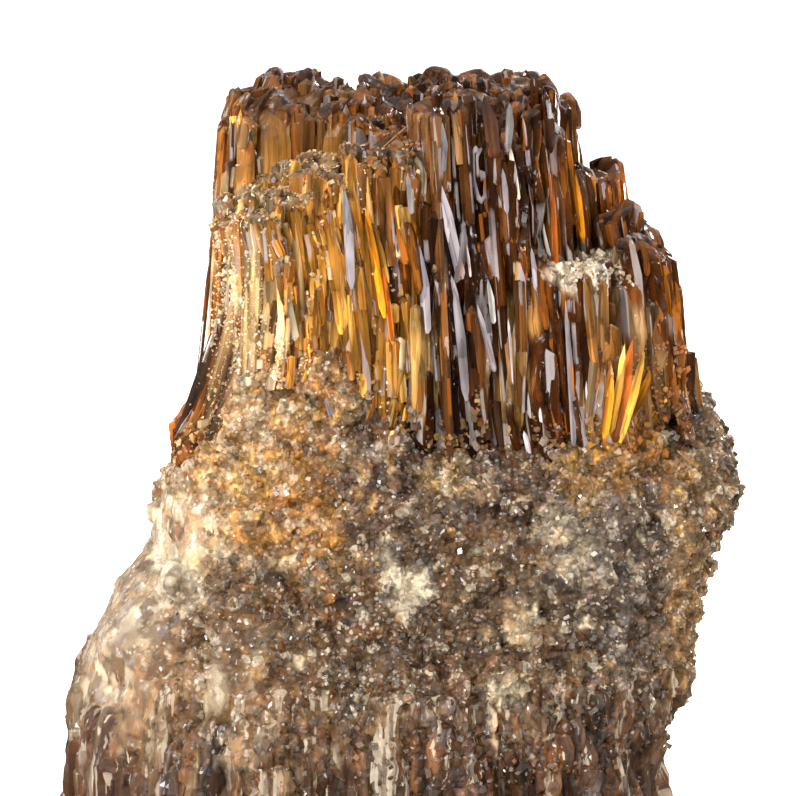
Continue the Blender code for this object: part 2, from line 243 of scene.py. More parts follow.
def finish_piece(piece, material):
    """Gives a piece its material, and hangs it on the specimen's body."""
    piece.data.materials.clear()
    piece.data.materials.append(material)
    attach(piece, "root")
    print(piece.name, triangles_in(piece), "triangles")


print("the packed solid has", triangles_in(solid), "triangles")

# %% [markdown]
# ## Where things are on the specimen
# Three facts about the real growth are used again and again: where the middle of the bundle is, how far
# the columns lean at each place, and how high the crust climbs them. They are written once here, as short
# functions of place in millimetres, and work on whole arrays of points. A last one moves the two sides of
# a piece in or out, which is how a swollen skin is brought back to the specimen's outline.

# %% Lean and seam
BUNDLE_MIDDLE = np.array((4.0, 3.6))
# Degrees towards +X at the top, by the place along X.
LEAN_PLACES = (-19, -10, 0, 10, 20, 29)
LEAN_DEGREES = (7.0, 1.0, -3.0, -4.0, -4.5, -9.0)
# The height of the crust's edge, by the angle round the bundle: -90 is the front and 180 the left.
SEAM_ANGLES = (-180, -158, -144, -128, -112, -95, -70, -40, 0, 60, 110, 150, 180)
SEAM_HEIGHTS = (44.5, 46.0, 56.0, 58.0, 52.5, 49.0, 48.5, 49.5, 51.0, 53.0, 54.0, 50.0, 44.5)
# How far from the middle, along X, a shift of one side has its full amount.
SHIFT_WIDTH = 15.0


def lean_at(x, extra=0.0):
    """Unit directions in which columns at x grow, one row each, with some more degrees of lean if given."""
    angle = np.radians(np.interp(x, LEAN_PLACES, LEAN_DEGREES) + extra)
    return np.stack([np.sin(angle), np.zeros_like(angle), np.cos(angle)], axis=-1)


def seam_at(x, y):
    """The height of the crust's edge at places round the bundle."""
    angle = np.degrees(np.arctan2(y - BUNDLE_MIDDLE[1], x - BUNDLE_MIDDLE[0]))
    return np.interp(angle, SEAM_ANGLES, SEAM_HEIGHTS)


def ramp(values, full):
    """0 below nothing, 1 from full on, and evenly in between."""
    return np.clip(values / full, 0, 1)


def shifted(rows, left, right):
    """Rows moved along X, each side by the millimetres given for some heights, and not in the middle."""
    moved = rows.copy()
    for shifts, side in ((left, -1), (right, 1)):
        heights, amounts = zip(*shifts)
        part = ramp(side * (rows[:, 0] - BUNDLE_MIDDLE[0]), SHIFT_WIDTH)
        moved[:, 0] += np.interp(rows[:, 2], heights, amounts) * part
    return moved


print("the crust ends at", float(seam_at(4.0, -10.0)), "mm in the middle of the front")

# %% [markdown]
# ## Palette
# Fourteen colours are enough for the whole specimen: iron stains clear calcite from gold over orange to the
# brown of root beer, dust makes it cream or grey, and lilac is mostly a painted reflection, the light that a
# cleavage face mirrors. A place never has one colour but a mix, given as shares of the palette.

# %% Palette
PALETTE = {
    "white": "#f7f1e4",
    "cream": "#ecd9b4",
    "gold": "#dba545",
    "honey": "#c87f1e",
    "orange": "#a85a1c",
    "flame": "#e08a18",
    "tan": "#a98556",
    "grey": "#9a9089",
    "lilac": "#b3a6a8",
    "brown": "#774313",
    "olive": "#614c2e",
    "umber": "#46230b",
    "root_beer": "#341406",
    "black": "#120906",
}
INKS = list(PALETTE)
INK_COLOURS = np.array([linear(PALETTE[ink]) for ink in INKS])


def mix(**shares):
    """A row of shares, one for each colour of the palette, that add up to 1."""
    row = np.array([float(shares.get(ink, 0)) for ink in INKS])
    return row / row.sum()


print(len(INKS), "colours, the darkest", INKS[INK_COLOURS.sum(axis=1).argmin()])

# %% [markdown]
# ## Colour spots of the crust
# Colour is laid out in soft spots, as a mineral's staining is: each spot has a centre and a size seen from
# the front, and holds a mix. One black spot at the right is a painted shadow beside a lump. What lies outside
# every spot has the mix of its own part, the crust or its foot, where brown ribs show.

# %% Colour spots of the crust
# Each spot: centre x and z, half width and half height in millimetres, strength, and its mix.
CRUST_SPOTS = (
    (-15.0, 49.0, 10.5, 9.0, 10.0, mix(gold=7, cream=3, honey=7, orange=4, flame=1, brown=1)),
    (-15.5, 57.5, 4.0, 8.0, 7.0, mix(cream=5, white=2, gold=4)),
    (-8.5, 44.5, 3.0, 4.5, 5.0, mix(orange=4, honey=3, gold=2, tan=1)),
    (-21.0, 41.0, 4.0, 6.0, 6.0, mix(white=1, cream=6, tan=2)),
    (-29.5, 33.0, 5.0, 8.0, 6.0, mix(cream=3, lilac=2, tan=6, brown=1)),
    (-11.0, 33.0, 7.0, 7.0, 6.0, mix(olive=5, brown=4, umber=2, tan=1)),
    (-19.0, 27.0, 9.0, 9.0, 3.0, mix(tan=5, brown=6, cream=1, umber=2)),
    (-3.2, 48.0, 4.2, 5.5, 10.0, mix(umber=6, black=3, brown=3, grey=2, tan=1)),
    (5.0, 48.5, 13.0, 4.5, 9.0, mix(umber=5, black=4, brown=4, grey=2, tan=2, gold=1)),
    (4.5, 47.6, 2.6, 1.6, 14.0, mix(cream=2, gold=3, tan=2)),
    (19.0, 47.6, 4.0, 2.4, 5.0, mix(gold=4, tan=2, brown=2)),
    (23.0, 51.5, 4.4, 5.0, 9.0, mix(orange=5, honey=3, gold=2, tan=1)),
    # Painted shadow: this black spot stands for the shade beside the lump at the right end of the crust.
    (27.6, 50.8, 1.8, 1.9, 30.0, mix(black=3, root_beer=2)),
    (1.0, 37.1, 1.7, 1.8, 7.0, mix(cream=6, grey=2, tan=1)),
    (-0.8, 40.8, 1.2, 1.2, 4.0, mix(cream=5, grey=2, tan=1)),
    (11.8, 34.0, 1.4, 1.6, 6.0, mix(cream=5, gold=1, tan=2)),
    (10.6, 27.7, 1.3, 1.5, 6.0, mix(cream=5, gold=1, tan=2)),
    (17.8, 40.0, 2.4, 2.6, 2.0, mix(cream=4, grey=2, tan=3)),
    (15.5, 42.2, 1.6, 1.9, 5.0, mix(cream=4, tan=3, grey=2)),
    (29.0, 38.0, 3.0, 14.0, 3.0, mix(tan=5, brown=3, gold=1)),
    (31.0, 44.0, 3.0, 6.0, 4.0, mix(tan=4, cream=1, brown=5, umber=2)),
    (22.0, 40.0, 4.0, 8.0, 3.0, mix(grey=3, umber=5, olive=5)),
)
CRUST_MIX = mix(olive=12, tan=3, grey=1, brown=5, cream=0.4, umber=9)
FOOT_MIX = mix(brown=7, umber=8, root_beer=4, tan=3, lilac=0.6, orange=2, olive=2, cream=0.5)
FOOT_LEVEL = 25.0
FOOT_FADE = 2.2
print(len(CRUST_SPOTS), "spots on the crust")

# %% [markdown]
# The back repeats the spots mirrored, and colours weaker, so that no side is bare. A spot fades with the
# distance from its centre, and the shares of all spots at a place are added up. The same kind of spot, with
# a number in place of a mix, says where the crystal is calm or flashes.

# %% Soft spots
BACK_FROM = 7.0
BACK_FULL = 15.0
BACK_STRENGTH = 0.5


def mirrored(places):
    """The place along X on the front that a place on the back repeats."""
    return np.where(places[:, 1] < BACK_FROM, places[:, 0], -places[:, 0])


def strengths(places, spots, power, on_back=1.0):
    """For each spot, on the front and then on the back: its strength at every place, and its mix if any."""
    back = ramp(places[:, 1] - BACK_FROM, BACK_FULL - BACK_FROM)
    for at_x, at_z, wide, tall, strength, *mixed in spots:
        for x, part in ((places[:, 0], 1 - back), (-places[:, 0], back * on_back)):
            reach = ((x - at_x) / wide) ** 2 + ((places[:, 2] - at_z) / tall) ** 2
            yield strength * part * np.exp(-(reach**power)), *mixed


def blot(places, base, spots):
    """A number at each place that is larger within soft spots."""
    share = np.full(len(places), base)
    for (strength,) in strengths(places, spots, 2):
        share = np.maximum(share, strength)
    return share


def spread(places, spots, base):
    """The share of every colour at each place, as rows that add up to 1."""
    shares = np.zeros((len(places), len(INKS))) + base
    for strength, mixed in strengths(places, spots, 1.5, BACK_STRENGTH):
        shares += strength[:, None] * mixed
    return shares / shares.sum(axis=1, keepdims=True)


middle_front = np.array([[0.0, -12.0, 48.0]])
print("most of the seam's front is", INKS[spread(middle_front, CRUST_SPOTS, CRUST_MIX).argmax()])

# %% [markdown]
# ## Patches
# Druse is never evenly mixed: dusty pale patches a few millimetres wide lie between dark clean ones. A
# smooth noise at that size moves the mix at each place towards its light or its dark colours. Then each
# grain or blade draws its own colour from the mix by chance.

# %% Patches
PATCH_SIZE = 2.0
PATCH_PULL = 3.2
INK_LIGHTNESS = INK_COLOURS.mean(axis=1) ** 0.45
INK_LIGHTNESS -= INK_LIGHTNESS.mean()


def waves(places, size, stretch=1.0):
    """A smooth noise at each place, about -1 to 1, with lumps of a size in millimetres, stretched upright."""
    scaled = places / (size, size, size * stretch)
    return np.array([noise.fractal(Vector(row), 0.7, 2.0, 3) for row in scaled.tolist()])


def patchy(shares, places, size=PATCH_SIZE, stretch=1.0, pull=PATCH_PULL):
    """Pulls the shares at each place towards pale or dark colours, in patches a few millimetres wide."""
    pulled = shares * np.exp(pull * waves(places, size, stretch)[:, None] * INK_LIGHTNESS)
    return pulled / pulled.sum(axis=1, keepdims=True)


def crust_shares(places):
    """The colour mix of the crust at each place, in patches, which goes over to the foot's low down."""
    low = 1 / (1 + np.exp((places[:, 2] - FOOT_LEVEL) / FOOT_FADE))[:, None]
    return patchy(spread(places, CRUST_SPOTS, CRUST_MIX * (1 - low) + FOOT_MIX * low), places, pull=5.0)


def foot_shares(places):
    """The colour mix of the ribs low on the crust, in upright bands."""
    return patchy(spread(places, CRUST_SPOTS, FOOT_MIX), places, size=1.8, stretch=6.0, pull=6.0)


def drawn(shares, rng, own=0.55, shake=0.22):
    """One palette colour for each row of shares, drawn by chance and blended with the colour of the place.

    own is the share of the drawn colour, and shake makes it a little lighter or darker."""
    pick = (shares.cumsum(axis=1) > rng.random(len(shares))[:, None]).argmax(axis=1)
    blended = INK_COLOURS[pick] * own + shares @ INK_COLOURS * (1 - own)
    return blended * np.exp(rng.normal(0, shake, len(pick)))[:, None]


print("the crust's upper left is mostly", INKS[crust_shares(np.array([[-15.0, -10.0, 49.0]])).argmax()])

# %% [markdown]
# ## Working on skins
# Both bodies of the specimen, the crust and the bundle of crystals, are made from a copy of the solid, so
# that they fit it. A voxel remesh melts the copy's large facets into one even skin, whose thousands of
# points can then be moved. These helpers melt, swell, cut and thin out a skin.

# %% Melt, swell and cut
def modify(piece, kind, **settings):
    """Gives a piece a modifier with these settings, and applies it."""
    choose(piece)
    made = piece.modifiers.new(kind.lower(), kind)
    for name, value in settings.items():
        setattr(made, name, value)
    bpy.ops.object.modifier_apply(modifier=made.name)


def melt(piece, voxel):
    """Remeshes a piece into one even skin."""
    modify(piece, "REMESH", mode="VOXEL", voxel_size=voxel)


def swell(piece, size, strength):
    """Pushes a piece's skin outwards, more here and less there, by a cloud pattern of a real size."""
    cloud = bpy.data.textures.new("lumps", "CLOUDS")
    cloud.noise_scale = size
    cloud.noise_depth = 2
    modify(piece, "DISPLACE", texture=cloud, strength=strength, mid_level=0.3)


def thin_out(piece, most):
    """Merges triangles where the skin is flattest, until a piece has no more than `most` of them."""
    modify(piece, "DECIMATE", ratio=most / triangles_in(piece))


def cut_level(piece, height, keep_below):
    """Cuts a piece flat at a height and closes the cut."""
    with editing(piece):
        bpy.ops.mesh.bisect(plane_co=(0, 0, height), plane_no=(0, 0, 1), use_fill=True,
                            clear_outer=keep_below, clear_inner=not keep_below)


def copy_of_solid(name):
    """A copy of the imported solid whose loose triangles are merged, so that it can be worked on."""
    copy = bpy.data.objects.new(name, solid.data.copy())
    bpy.context.scene.collection.objects.link(copy)
    with editing(copy):
        bpy.ops.mesh.remove_doubles(threshold=0.001 * MM)
    copy.data.materials.clear()
    return copy


print("a copy of the solid starts with", len(solid.data.vertices), "loose points")

# %% [markdown]
# ## Reading and moving points
# The points of a skin are read, moved and written back as whole arrays, because one operator call for each
# of a hundred thousand points would take hours. Numbers that the materials need are stored with the points.
# Seeds and grains are scattered by area, so that large faces get as many on each square millimetre as small.

# %% Read and move points
def places_of(piece):
    """The places of a piece's points, as rows in millimetres."""
    rows = np.empty(len(piece.data.vertices) * 3)
    piece.data.vertices.foreach_get("co", rows)
    return rows.reshape(-1, 3) / MM


def directions_of(piece):
    """The outward directions of a piece's points."""
    rows = np.empty(len(piece.data.vertices) * 3)
    piece.data.vertex_normals.foreach_get("vector", rows)
    return rows.reshape(-1, 3)


def move_points(piece, rows):
    """Puts a piece's points at the places given in millimetres."""
    piece.data.vertices.foreach_set("co", (rows * MM).ravel())
    piece.data.update()


def store(piece, name, values):
    """Stores a number or a row of three for every point of a piece, for its material to read by name."""
    kind, field = ("FLOAT_VECTOR", "vector") if values.ndim == 2 else ("FLOAT", "value")
    kept = piece.data.attributes.new(name, kind, "POINT")
    kept.data.foreach_set(field, values.astype(np.float32).ravel())


def unit(rows):
    """Rows of directions, each made one long."""
    return rows / np.maximum(np.linalg.norm(rows, axis=1, keepdims=True), 1e-9)


def scatter(piece, count, rng, keep):
    """Chance places on a piece, with the skin's direction there, where keep(places, directions) is true."""
    mesh = piece.data
    mesh.calc_loop_triangles()
    corners = np.empty(len(mesh.loop_triangles) * 3, np.int64)
    mesh.loop_triangles.foreach_get("vertices", corners)
    a, b, c = np.moveaxis(places_of(piece)[corners.reshape(-1, 3)], 1, 0)
    cross = np.cross(b - a, c - a)
    area = np.linalg.norm(cross, axis=1)
    middles, out = (a + b + c) / 3, unit(cross)
    area = np.where(keep(middles, out), area, 0.0)
    pick = rng.choice(len(area), count, p=area / area.sum())
    u, v = rng.random((2, count, 1))
    flip = u + v > 1
    u, v = np.where(flip, 1 - u, u), np.where(flip, 1 - v, v)
    return a[pick] + (b - a)[pick] * u + (c - a)[pick] * v, out[pick], area.sum() / 2


print("the solid reaches", places_of(solid).max(axis=0).round(1), "mm")

# %% [markdown]
# ## Cutting a skin into crystal faces
# What makes an intergrown mass look like crystal is that its skin is all flat faces that meet in crevices.
# Seeds are strewn over the skin, and each is the middle of a crystal: a roof of two flat faces, tilted its
# own way. Every point moves out on to the highest roof of the few seeds nearest to it. Measured on a scale
# that is squeezed along the growth, the same rule gives long blades with pointed ends, packed without gaps.

# %% Crystal faces
UP = np.array((0.0, 0.0, 1.0))
NEIGHBOURS = 4
SQUEEZE_LEVEL = 62.0


def squeezed(rows, stretch):
    """Places on a scale where crystals that are long along their growth are as wide as they are long."""
    lean = lean_at(rows[:, 0])
    upright = rows[:, 0] - (rows[:, 2] - SQUEEZE_LEVEL) * lean[:, 0] / lean[:, 2] * (stretch > 1)
    return np.stack([upright, rows[:, 1], rows[:, 2] / stretch], axis=1)


def nearest(rows, seeds):
    """The numbers of the seeds nearest to each row, nearest first, and how far they are."""
    tree = kdtree.KDTree(len(seeds))
    for number, seed in enumerate(seeds.tolist()):
        tree.insert(seed, number)
    tree.balance()
    found = np.array([[hit[1:] for hit in tree.find_n(row, NEIGHBOURS)] for row in rows.tolist()])
    return found[..., 0].astype(np.int64), found[..., 1]


def carve(rows, out, seeds, seeds_out, rng, stretch, step, slant, limit, ridge=0.3, bevel=1.2):
    """Moves points out on to crystals round the seeds, each a roof of two faces with steep sides.

    step is how far the crystals differ in height, slant how far they tilt, ridge how steep the roofs are and
    bevel how steep the sides. Returns the points, each point's seed, and how far it is above a crevice."""
    flat_rows, flat_seeds = squeezed(rows, stretch), squeezed(seeds, stretch)
    near, far = nearest(flat_rows, flat_seeds)
    side = unit(np.cross(UP, seeds_out) + 1e-3)
    rise = np.cross(seeds_out, side)
    tilt = rng.normal(0, 1, (2, len(seeds), 1)) * np.array(slant)[:, None, None]
    face = unit(seeds_out + side * tilt[0] + rise * tilt[1])
    level = rng.normal(0, step, len(seeds))
    roof = np.abs(rng.normal(0, ridge, len(seeds)))
    off = rows[:, None] - seeds[near]
    sideways = np.abs((off * side[near]).sum(axis=2))
    gap = level[near] - (off * face[near]).sum(axis=2) - roof[near] * sideways
    push = np.clip(gap / np.maximum((out[:, None] * face[near]).sum(axis=2), 0.35), -limit, limit)
    push -= bevel * (far - far[:, :1])
    best, number = push.argmax(axis=1), np.arange(len(rows))
    top = push[number, best]
    crest = top - np.sort(push, axis=1)[:, -2]
    return rows + out * top[:, None], near[number, best], crest


def brightness(crest, lowest, highest, depth):
    """Painted shade: points are painted darkest in a crevice, and brighter the higher they are above it."""
    return np.clip(lowest + crest / depth, lowest, highest)[:, None]


print("a place at x 1, y 2 stays at", squeezed(np.array([[1.0, 2.0, SQUEEZE_LEVEL]]), 7.0)[0].round(2))

# %% [markdown]
# ## The crust body
# The crust is a lumpy body, coated all over with druse: crystals half a millimetre wide. Cloud textures
# swell it into lumps, and above the crust's edge it is drawn in towards the middle of the bundle, so that
# it dives out of sight between the columns. Then its skin is cut into faces as small as the grains.

# %% Crust body
CRUST_VOXEL = 0.38 * MM
CRUST_CUT = 63 * MM
DIVE = 0.62
DIVE_DEPTH = 2.5
LUMPS = ((5.0 * MM, 0.9 * MM), (1.8 * MM, 0.5 * MM))
# How far each side of the crust is moved along X: heights and millimetres.
CRUST_LEFT = ((8, 0.0), (13, 0.3), (20, 0.9), (30, 0.5), (35, 1.7), (41, 0.6), (46, 0.0))
CRUST_RIGHT = ((8, 0.0), (14, -0.3), (20, -1.1), (26, -0.5), (31, 0.0), (35, 1.0), (41, 1.2), (46, 0.0))

crust = copy_of_solid("druse_crust")
cut_level(crust, CRUST_CUT, keep_below=True)
melt(crust, CRUST_VOXEL)
for size, strength in LUMPS:
    swell(crust, size, strength)
rows = places_of(crust)
over = ramp(rows[:, 2] - seam_at(rows[:, 0], rows[:, 1]), DIVE_DEPTH)[:, None]
rows[:, :2] += (BUNDLE_MIDDLE - rows[:, :2]) * (over * over * (3 - 2 * over)) * (1 - DIVE)
rows = shifted(rows, CRUST_LEFT, CRUST_RIGHT)
move_points(crust, rows)
print("crust body has", len(crust.data.polygons), "faces")

# %% [markdown]
# ## Druse faces on the crust
# The druse is cut in two sizes, one after the other: first lumps of two millimetres, then clusters of one.
# Each cluster is a little darker or paler than its neighbours, and painted shade darkens the clusters and
# ribs towards the crevices between them. Low down the crust wears thin, and the columns show again as upright
# ribs: there the skin is cut into long faces instead, along a ragged line.

# %% Where the crust shows, and how it is cut
SEAM_MARGIN = 1.5
FOOT_RAG = 9
CALM_BASE = 0.15
# Where the crust is smooth: centre x and z, half width and half height, and how smooth.
SMOOTH_CRUST = ((-29.0, 28.0, 9.0, 17.0, 0.92), (-22.0, 40.0, 5.0, 6.0, 0.7), (-17.0, 28.0, 9.0, 8.0, 0.58),
                (1.0, 37.1, 1.6, 1.7, 0.5), (11.8, 34.0, 1.4, 1.6, 0.5))


def on_crust(middles, out):
    """True below the crust's edge, and not on the cut base."""
    below = middles[:, 2] < seam_at(middles[:, 0], middles[:, 1]) + SEAM_MARGIN
    return below & (middles[:, 2] > 0.3)


def on_foot(middles, out):
    """True on the lower part of the crust."""
    return on_crust(middles, out) & (middles[:, 2] < FOOT_LEVEL + FOOT_RAG)


def cut_crust(rows, rng, count, keep, **roofs):
    """Cuts the crust's points into faces round seeds strewn over part of it."""
    seeds, seeds_out, area = scatter(crust, count, rng, keep)
    moved, cell, crest = carve(rows, directions_of(crust), seeds, seeds_out, rng, **roofs)
    print(count, "faces, one on", round(area / count, 2), "square mm")
    return moved, cell, crest, seeds


calm = blot(rows, CALM_BASE, SMOOTH_CRUST)
print("calmest place of the crust", calm.max().round(2))

# %% [markdown]
# The lumps are pulled back where the crust is smooth, and the clusters are cut into them. The ribs are cut
# from the same skin, and the two are blended along the ragged line, in shape as well as in colour.

# %% Cut the crust
LUMPS_CUT = {"count": 2200, "keep": on_crust, "stretch": 1.0, "step": 0.12, "slant": (0.2, 0.2), "limit": 0.5}
CLUSTERS_CUT = {"count": 11000, "keep": on_crust, "stretch": 1.0, "step": 0.10, "slant": (0.35, 0.35),
                "limit": 0.35}
RIB_STRETCH = 11.0
RIBS_CUT = {"count": 700, "keep": on_foot, "stretch": RIB_STRETCH, "step": 0.22, "slant": (0.3, 0.03),
            "limit": 0.8}
RIB_BLEND = 3
RIB_PATCHES = 1.2
MOST_TRIANGLES = 190000

rng = np.random.default_rng(5)
lumps = cut_crust(rows, rng, **LUMPS_CUT)[0]
rows = lumps + (rows - lumps) * calm[:, None]
move_points(crust, rows)
lumps, cell, crest, seeds = cut_crust(rows, rng, **CLUSTERS_CUT)
lump_tints = drawn(crust_shares(seeds), rng, own=0.3, shake=0.25)[cell]
# painted shade: clusters are painted darker towards the crevices between them
lump_tints *= brightness(crest, 0.54, 0.98, depth=0.33)
ribs, cell, crest, seeds = cut_crust(rows, rng, **RIBS_CUT)
rib_tints = drawn(foot_shares(seeds), rng, own=0.3, shake=0.3)[cell]
# painted shade: ribs are painted darker towards the crevices between them
rib_tints *= brightness(crest, 0.26, 0.82, depth=0.45)
lumps += (rows - lumps) * calm[:, None]
foot_line = FOOT_LEVEL + FOOT_RAG * waves(rows * (1, 1, 0), 4.0)
bare = ramp((foot_line - rows[:, 2]) / RIB_BLEND + RIB_PATCHES * waves(rows, 2.2), 1)[:, None]
grow_down = np.minimum(rows[:, 2] - FOOT_LEVEL - 2, 0)
growth = rows - UP * (grow_down * (1 - 1 / RIB_STRETCH))[:, None]
rows = lumps + (ribs - lumps) * bare
rows[:, 2] = np.maximum(rows[:, 2], 0.0)
move_points(crust, rows)
store(crust, "tint", lump_tints + (rib_tints - lump_tints) * bare)
store(crust, "growth", growth)
store(crust, "calm", calm)
thin_out(crust, MOST_TRIANGLES)
print("ribs take up", round(100 * float(bare.mean())), "percent of the crust")

# %% [markdown]
# ## Druse, the finish of the crust
# Druse is sugar to the eye: dull where grains are dusty, sparkling where they are clean. Its grains are finer
# than a mesh can hold, so they are drawn in the material: a cell pattern gives every grain its own tilt,
# shade and polish, at two sizes. A tilt per grain, and not a soft noise, is what makes single grains flash.

# %% Small faces as bump
def small_faces(tree, place, width, stretch, steep, normal=None, metric="EUCLIDEAN"):
    """A pattern of small flat faces that tilt by chance, widths in millimetres, steep as the largest slope.

    Each cell's height rises evenly from its middle, along a direction that its chance colour gives. Returns
    the cells, their chance numbers and the bump."""
    scale = (1 / width, 1 / width, 1 / (width * stretch))
    scaled = add_node(tree, "VectorMath", {"operation": "MULTIPLY", 1: scale}, {0: place})
    cells = add_node(tree, "TexVoronoi", {"distance": metric, "Scale": 1.0}, {"Vector": scaled.outputs[0]})
    away = add_node(tree, "VectorMath", {"operation": "SUBTRACT"},
                    {0: scaled.outputs[0], 1: cells.outputs["Position"]})
    tilt = add_node(tree, "VectorMath", {"operation": "SUBTRACT", 1: (0.5, 0.5, 0.5)},
                    {0: cells.outputs["Color"]})
    height = add_node(tree, "VectorMath", {"operation": "DOT_PRODUCT"},
                      {0: away.outputs[0], 1: tilt.outputs[0]})
    bump = add_node(tree, "Bump", {"Distance": 2 * steep * width * MM}, {"Height": height.outputs["Value"]})
    if normal:
        tree.links.new(normal, bump.inputs["Normal"])
    chance = add_node(tree, "SeparateXYZ", links={0: cells.outputs["Color"]})
    return cells, chance, bump


print("a slope of 0.4 tilts a face by", round(math.degrees(math.atan(0.4))), "degrees")

# %% [markdown]
# The colour comes from the mesh, as the tint of each place, and patterns make it darker and lighter, some
# of them as painted shade at the edges of cells. A pattern loses its force where the surface is calm. Lenses
# in some cells make pale grains on the druse, and painted glints and painted glow on the crystal.

# %% Shades and lenses
LENS_EDGE = 0.1


def shaded(tree, factors):
    """The piece's tint, made darker and lighter by patterns, the less so the calmer the place.

    Each factor is a pattern, its lowest and highest value, and what the tint is multiplied by there."""
    shade = None
    for value, low, high, at_low, at_high in factors:
        factor = add_node(tree, "MapRange", {"From Min": low, "From Max": high, "To Min": at_low,
                                             "To Max": at_high}, {"Value": value}).outputs[0]
        shade = factor if shade is None else add_node(
            tree, "Math", {"operation": "MULTIPLY"}, {0: shade, 1: factor}).outputs[0]
    calm = add_node(tree, "Attribute", {"attribute_name": "calm"})
    lively = add_node(tree, "Math", {"operation": "SUBTRACT", 0: 1.0}, {1: calm.outputs["Fac"]})
    calmed = add_node(tree, "Math", {"operation": "POWER"}, {0: shade, 1: lively.outputs[0]})
    tint = add_node(tree, "Attribute", {"attribute_name": "tint"})
    painted = add_node(tree, "VectorMath", {"operation": "SCALE"},
                       {0: tint.outputs["Vector"], "Scale": calmed.outputs[0]})
    return painted.outputs[0]


def lens(tree, cells, chance, share, reach=0.46):
    """A lens of some reach in the middle of those cells that chance chose."""
    edge = {"From Min": reach - LENS_EDGE, "From Max": reach, "To Min": 1.0, "To Max": 0.0}
    middle = add_node(tree, "MapRange", edge, {"Value": cells.outputs["Distance"]})
    total = add_node(tree, "Math", {"operation": "ADD"}, {0: chance, 1: share})
    chosen = add_node(tree, "Math", {"operation": "GREATER_THAN", 1: 1.0}, {0: total.outputs[0]})
    both = add_node(tree, "Math", {"operation": "MULTIPLY"}, {0: middle.outputs[0], 1: chosen.outputs[0]})
    return both.outputs[0]


print("a lens fades over", LENS_EDGE, "of a cell's width")

# %% [markdown]
# Druse needs the pattern twice, the finer on top of the coarser, with a cloudy coat of dust, and pale
# grains where the dust is thick. Its calm places have weaker bumps.

# %% Druse material
PALE_GRAIN_COLOUR = (*linear("#d2c2a8"), 1)
GRAIN_IOR = 1.55
druse, tree, shader, _ = new_material("sugary_druse")
place = add_node(tree, "Attribute", {"attribute_name": "growth"}).outputs["Vector"]
coarse, coarse_chance, coarse_bump = small_faces(tree, place, width=1.1, stretch=1.0, steep=0.3)
fine, fine_chance, fine_bump = small_faces(tree, place, width=0.4, stretch=1.0, steep=0.4,
                                           normal=coarse_bump.outputs["Normal"])
dust = add_node(tree, "TexNoise", {"Scale": 0.55, "Detail": 5.0, "Roughness": 0.6}, {"Vector": place})
painted = shaded(tree, (
    (coarse_chance.outputs["X"], 0, 1, 0.55, 1.35),
    (fine_chance.outputs["Y"], 0, 1, 0.65, 1.35),
    # painted shade: each fine grain is painted darker towards its edge, where it meets the next
    (fine.outputs["Distance"], 0.1, 0.6, 1.1, 0.7),
    (dust.outputs["Fac"], 0.35, 0.65, 0.5, 1.4)))
sugar_share = add_node(tree, "MapRange", {"From Min": 0.46, "From Max": 0.66, "To Min": 0.0, "To Max": 0.45},
                       {"Value": dust.outputs["Fac"]})
grain = lens(tree, coarse, coarse_chance.outputs["Z"], sugar_share.outputs[0], reach=0.7)
small_grain = lens(tree, fine, fine_chance.outputs["X"], sugar_share.outputs[0], reach=0.6)
either = add_node(tree, "Math", {"operation": "MAXIMUM"}, {0: grain, 1: small_grain})
dimmed = add_node(tree, "MapRange", {"To Min": 0.15, "To Max": 0.75}, {"Value": fine_chance.outputs["Y"]})
pale = add_node(tree, "Math", {"operation": "MULTIPLY"}, {0: either.outputs[0], 1: dimmed.outputs[0]})
sugared = add_node(tree, "Mix", {"data_type": "RGBA", 7: PALE_GRAIN_COLOUR},
                   {0: pale.outputs[0], 6: painted})
calm = add_node(tree, "Attribute", {"attribute_name": "calm"})
lively = add_node(tree, "MapRange", {"To Min": 1.0, "To Max": 0.2}, {"Value": calm.outputs["Fac"]})
for bump in (coarse_bump, fine_bump):
    tree.links.new(lively.outputs[0], bump.inputs["Strength"])
polish = add_node(tree, "MapRange", {"To Min": 0.1, "To Max": 0.65}, {"Value": fine_chance.outputs["Z"]})
tree.links.new(sugared.outputs[2], shader.inputs["Base Color"])
tree.links.new(fine_bump.outputs["Normal"], shader.inputs["Normal"])
tree.links.new(polish.outputs[0], shader.inputs["Roughness"])
shader.inputs["IOR"].default_value = GRAIN_IOR
finish_piece(crust, druse)

# %% [markdown]
# ## Crystals to copy
# Thousands of crystals stand on the specimen, but they are copies of a few. Each is modelled once, one
# unit wide and long, from a ring of points that is extruded and resized level by level until it closes in
# a tip, as a crystal grows. Off-centre tips and unequal sides keep the copies from looking alike once they
# are turned. They have only a few dozen faces, since they are repeated hundreds of times.

# %% Model one crystal
def crystal(name, sides, foot, rings):
    """One crystal along +Z: a foot ring, then rings of rise, widening and sideways step, then its tip."""
    deselect()
    bpy.ops.mesh.primitive_circle_add(vertices=sides, radius=foot / 2, fill_type="NGON")
    piece = bpy.context.object
    piece.name = name
    bpy.ops.object.mode_set(mode="EDIT")
    height = 0.0
    for rise, widening, step in rings:
        height += rise
        bpy.ops.mesh.extrude_region_move(TRANSFORM_OT_translate={"value": (step, step / 2, rise)})
        bpy.ops.transform.resize(value=(widening, widening, 1), center_override=(step, 0, height))
    bpy.ops.mesh.merge(type="CENTER")
    bpy.ops.mesh.select_all(action="SELECT")
    bpy.ops.mesh.normals_make_consistent(inside=False)
    bpy.ops.object.mode_set(mode="OBJECT")
    return piece


def from_lowest(corners):
    """A face's corners in their order, from the lowest number on."""
    first = corners.index(min(corners))
    return corners[first:] + corners[:first]


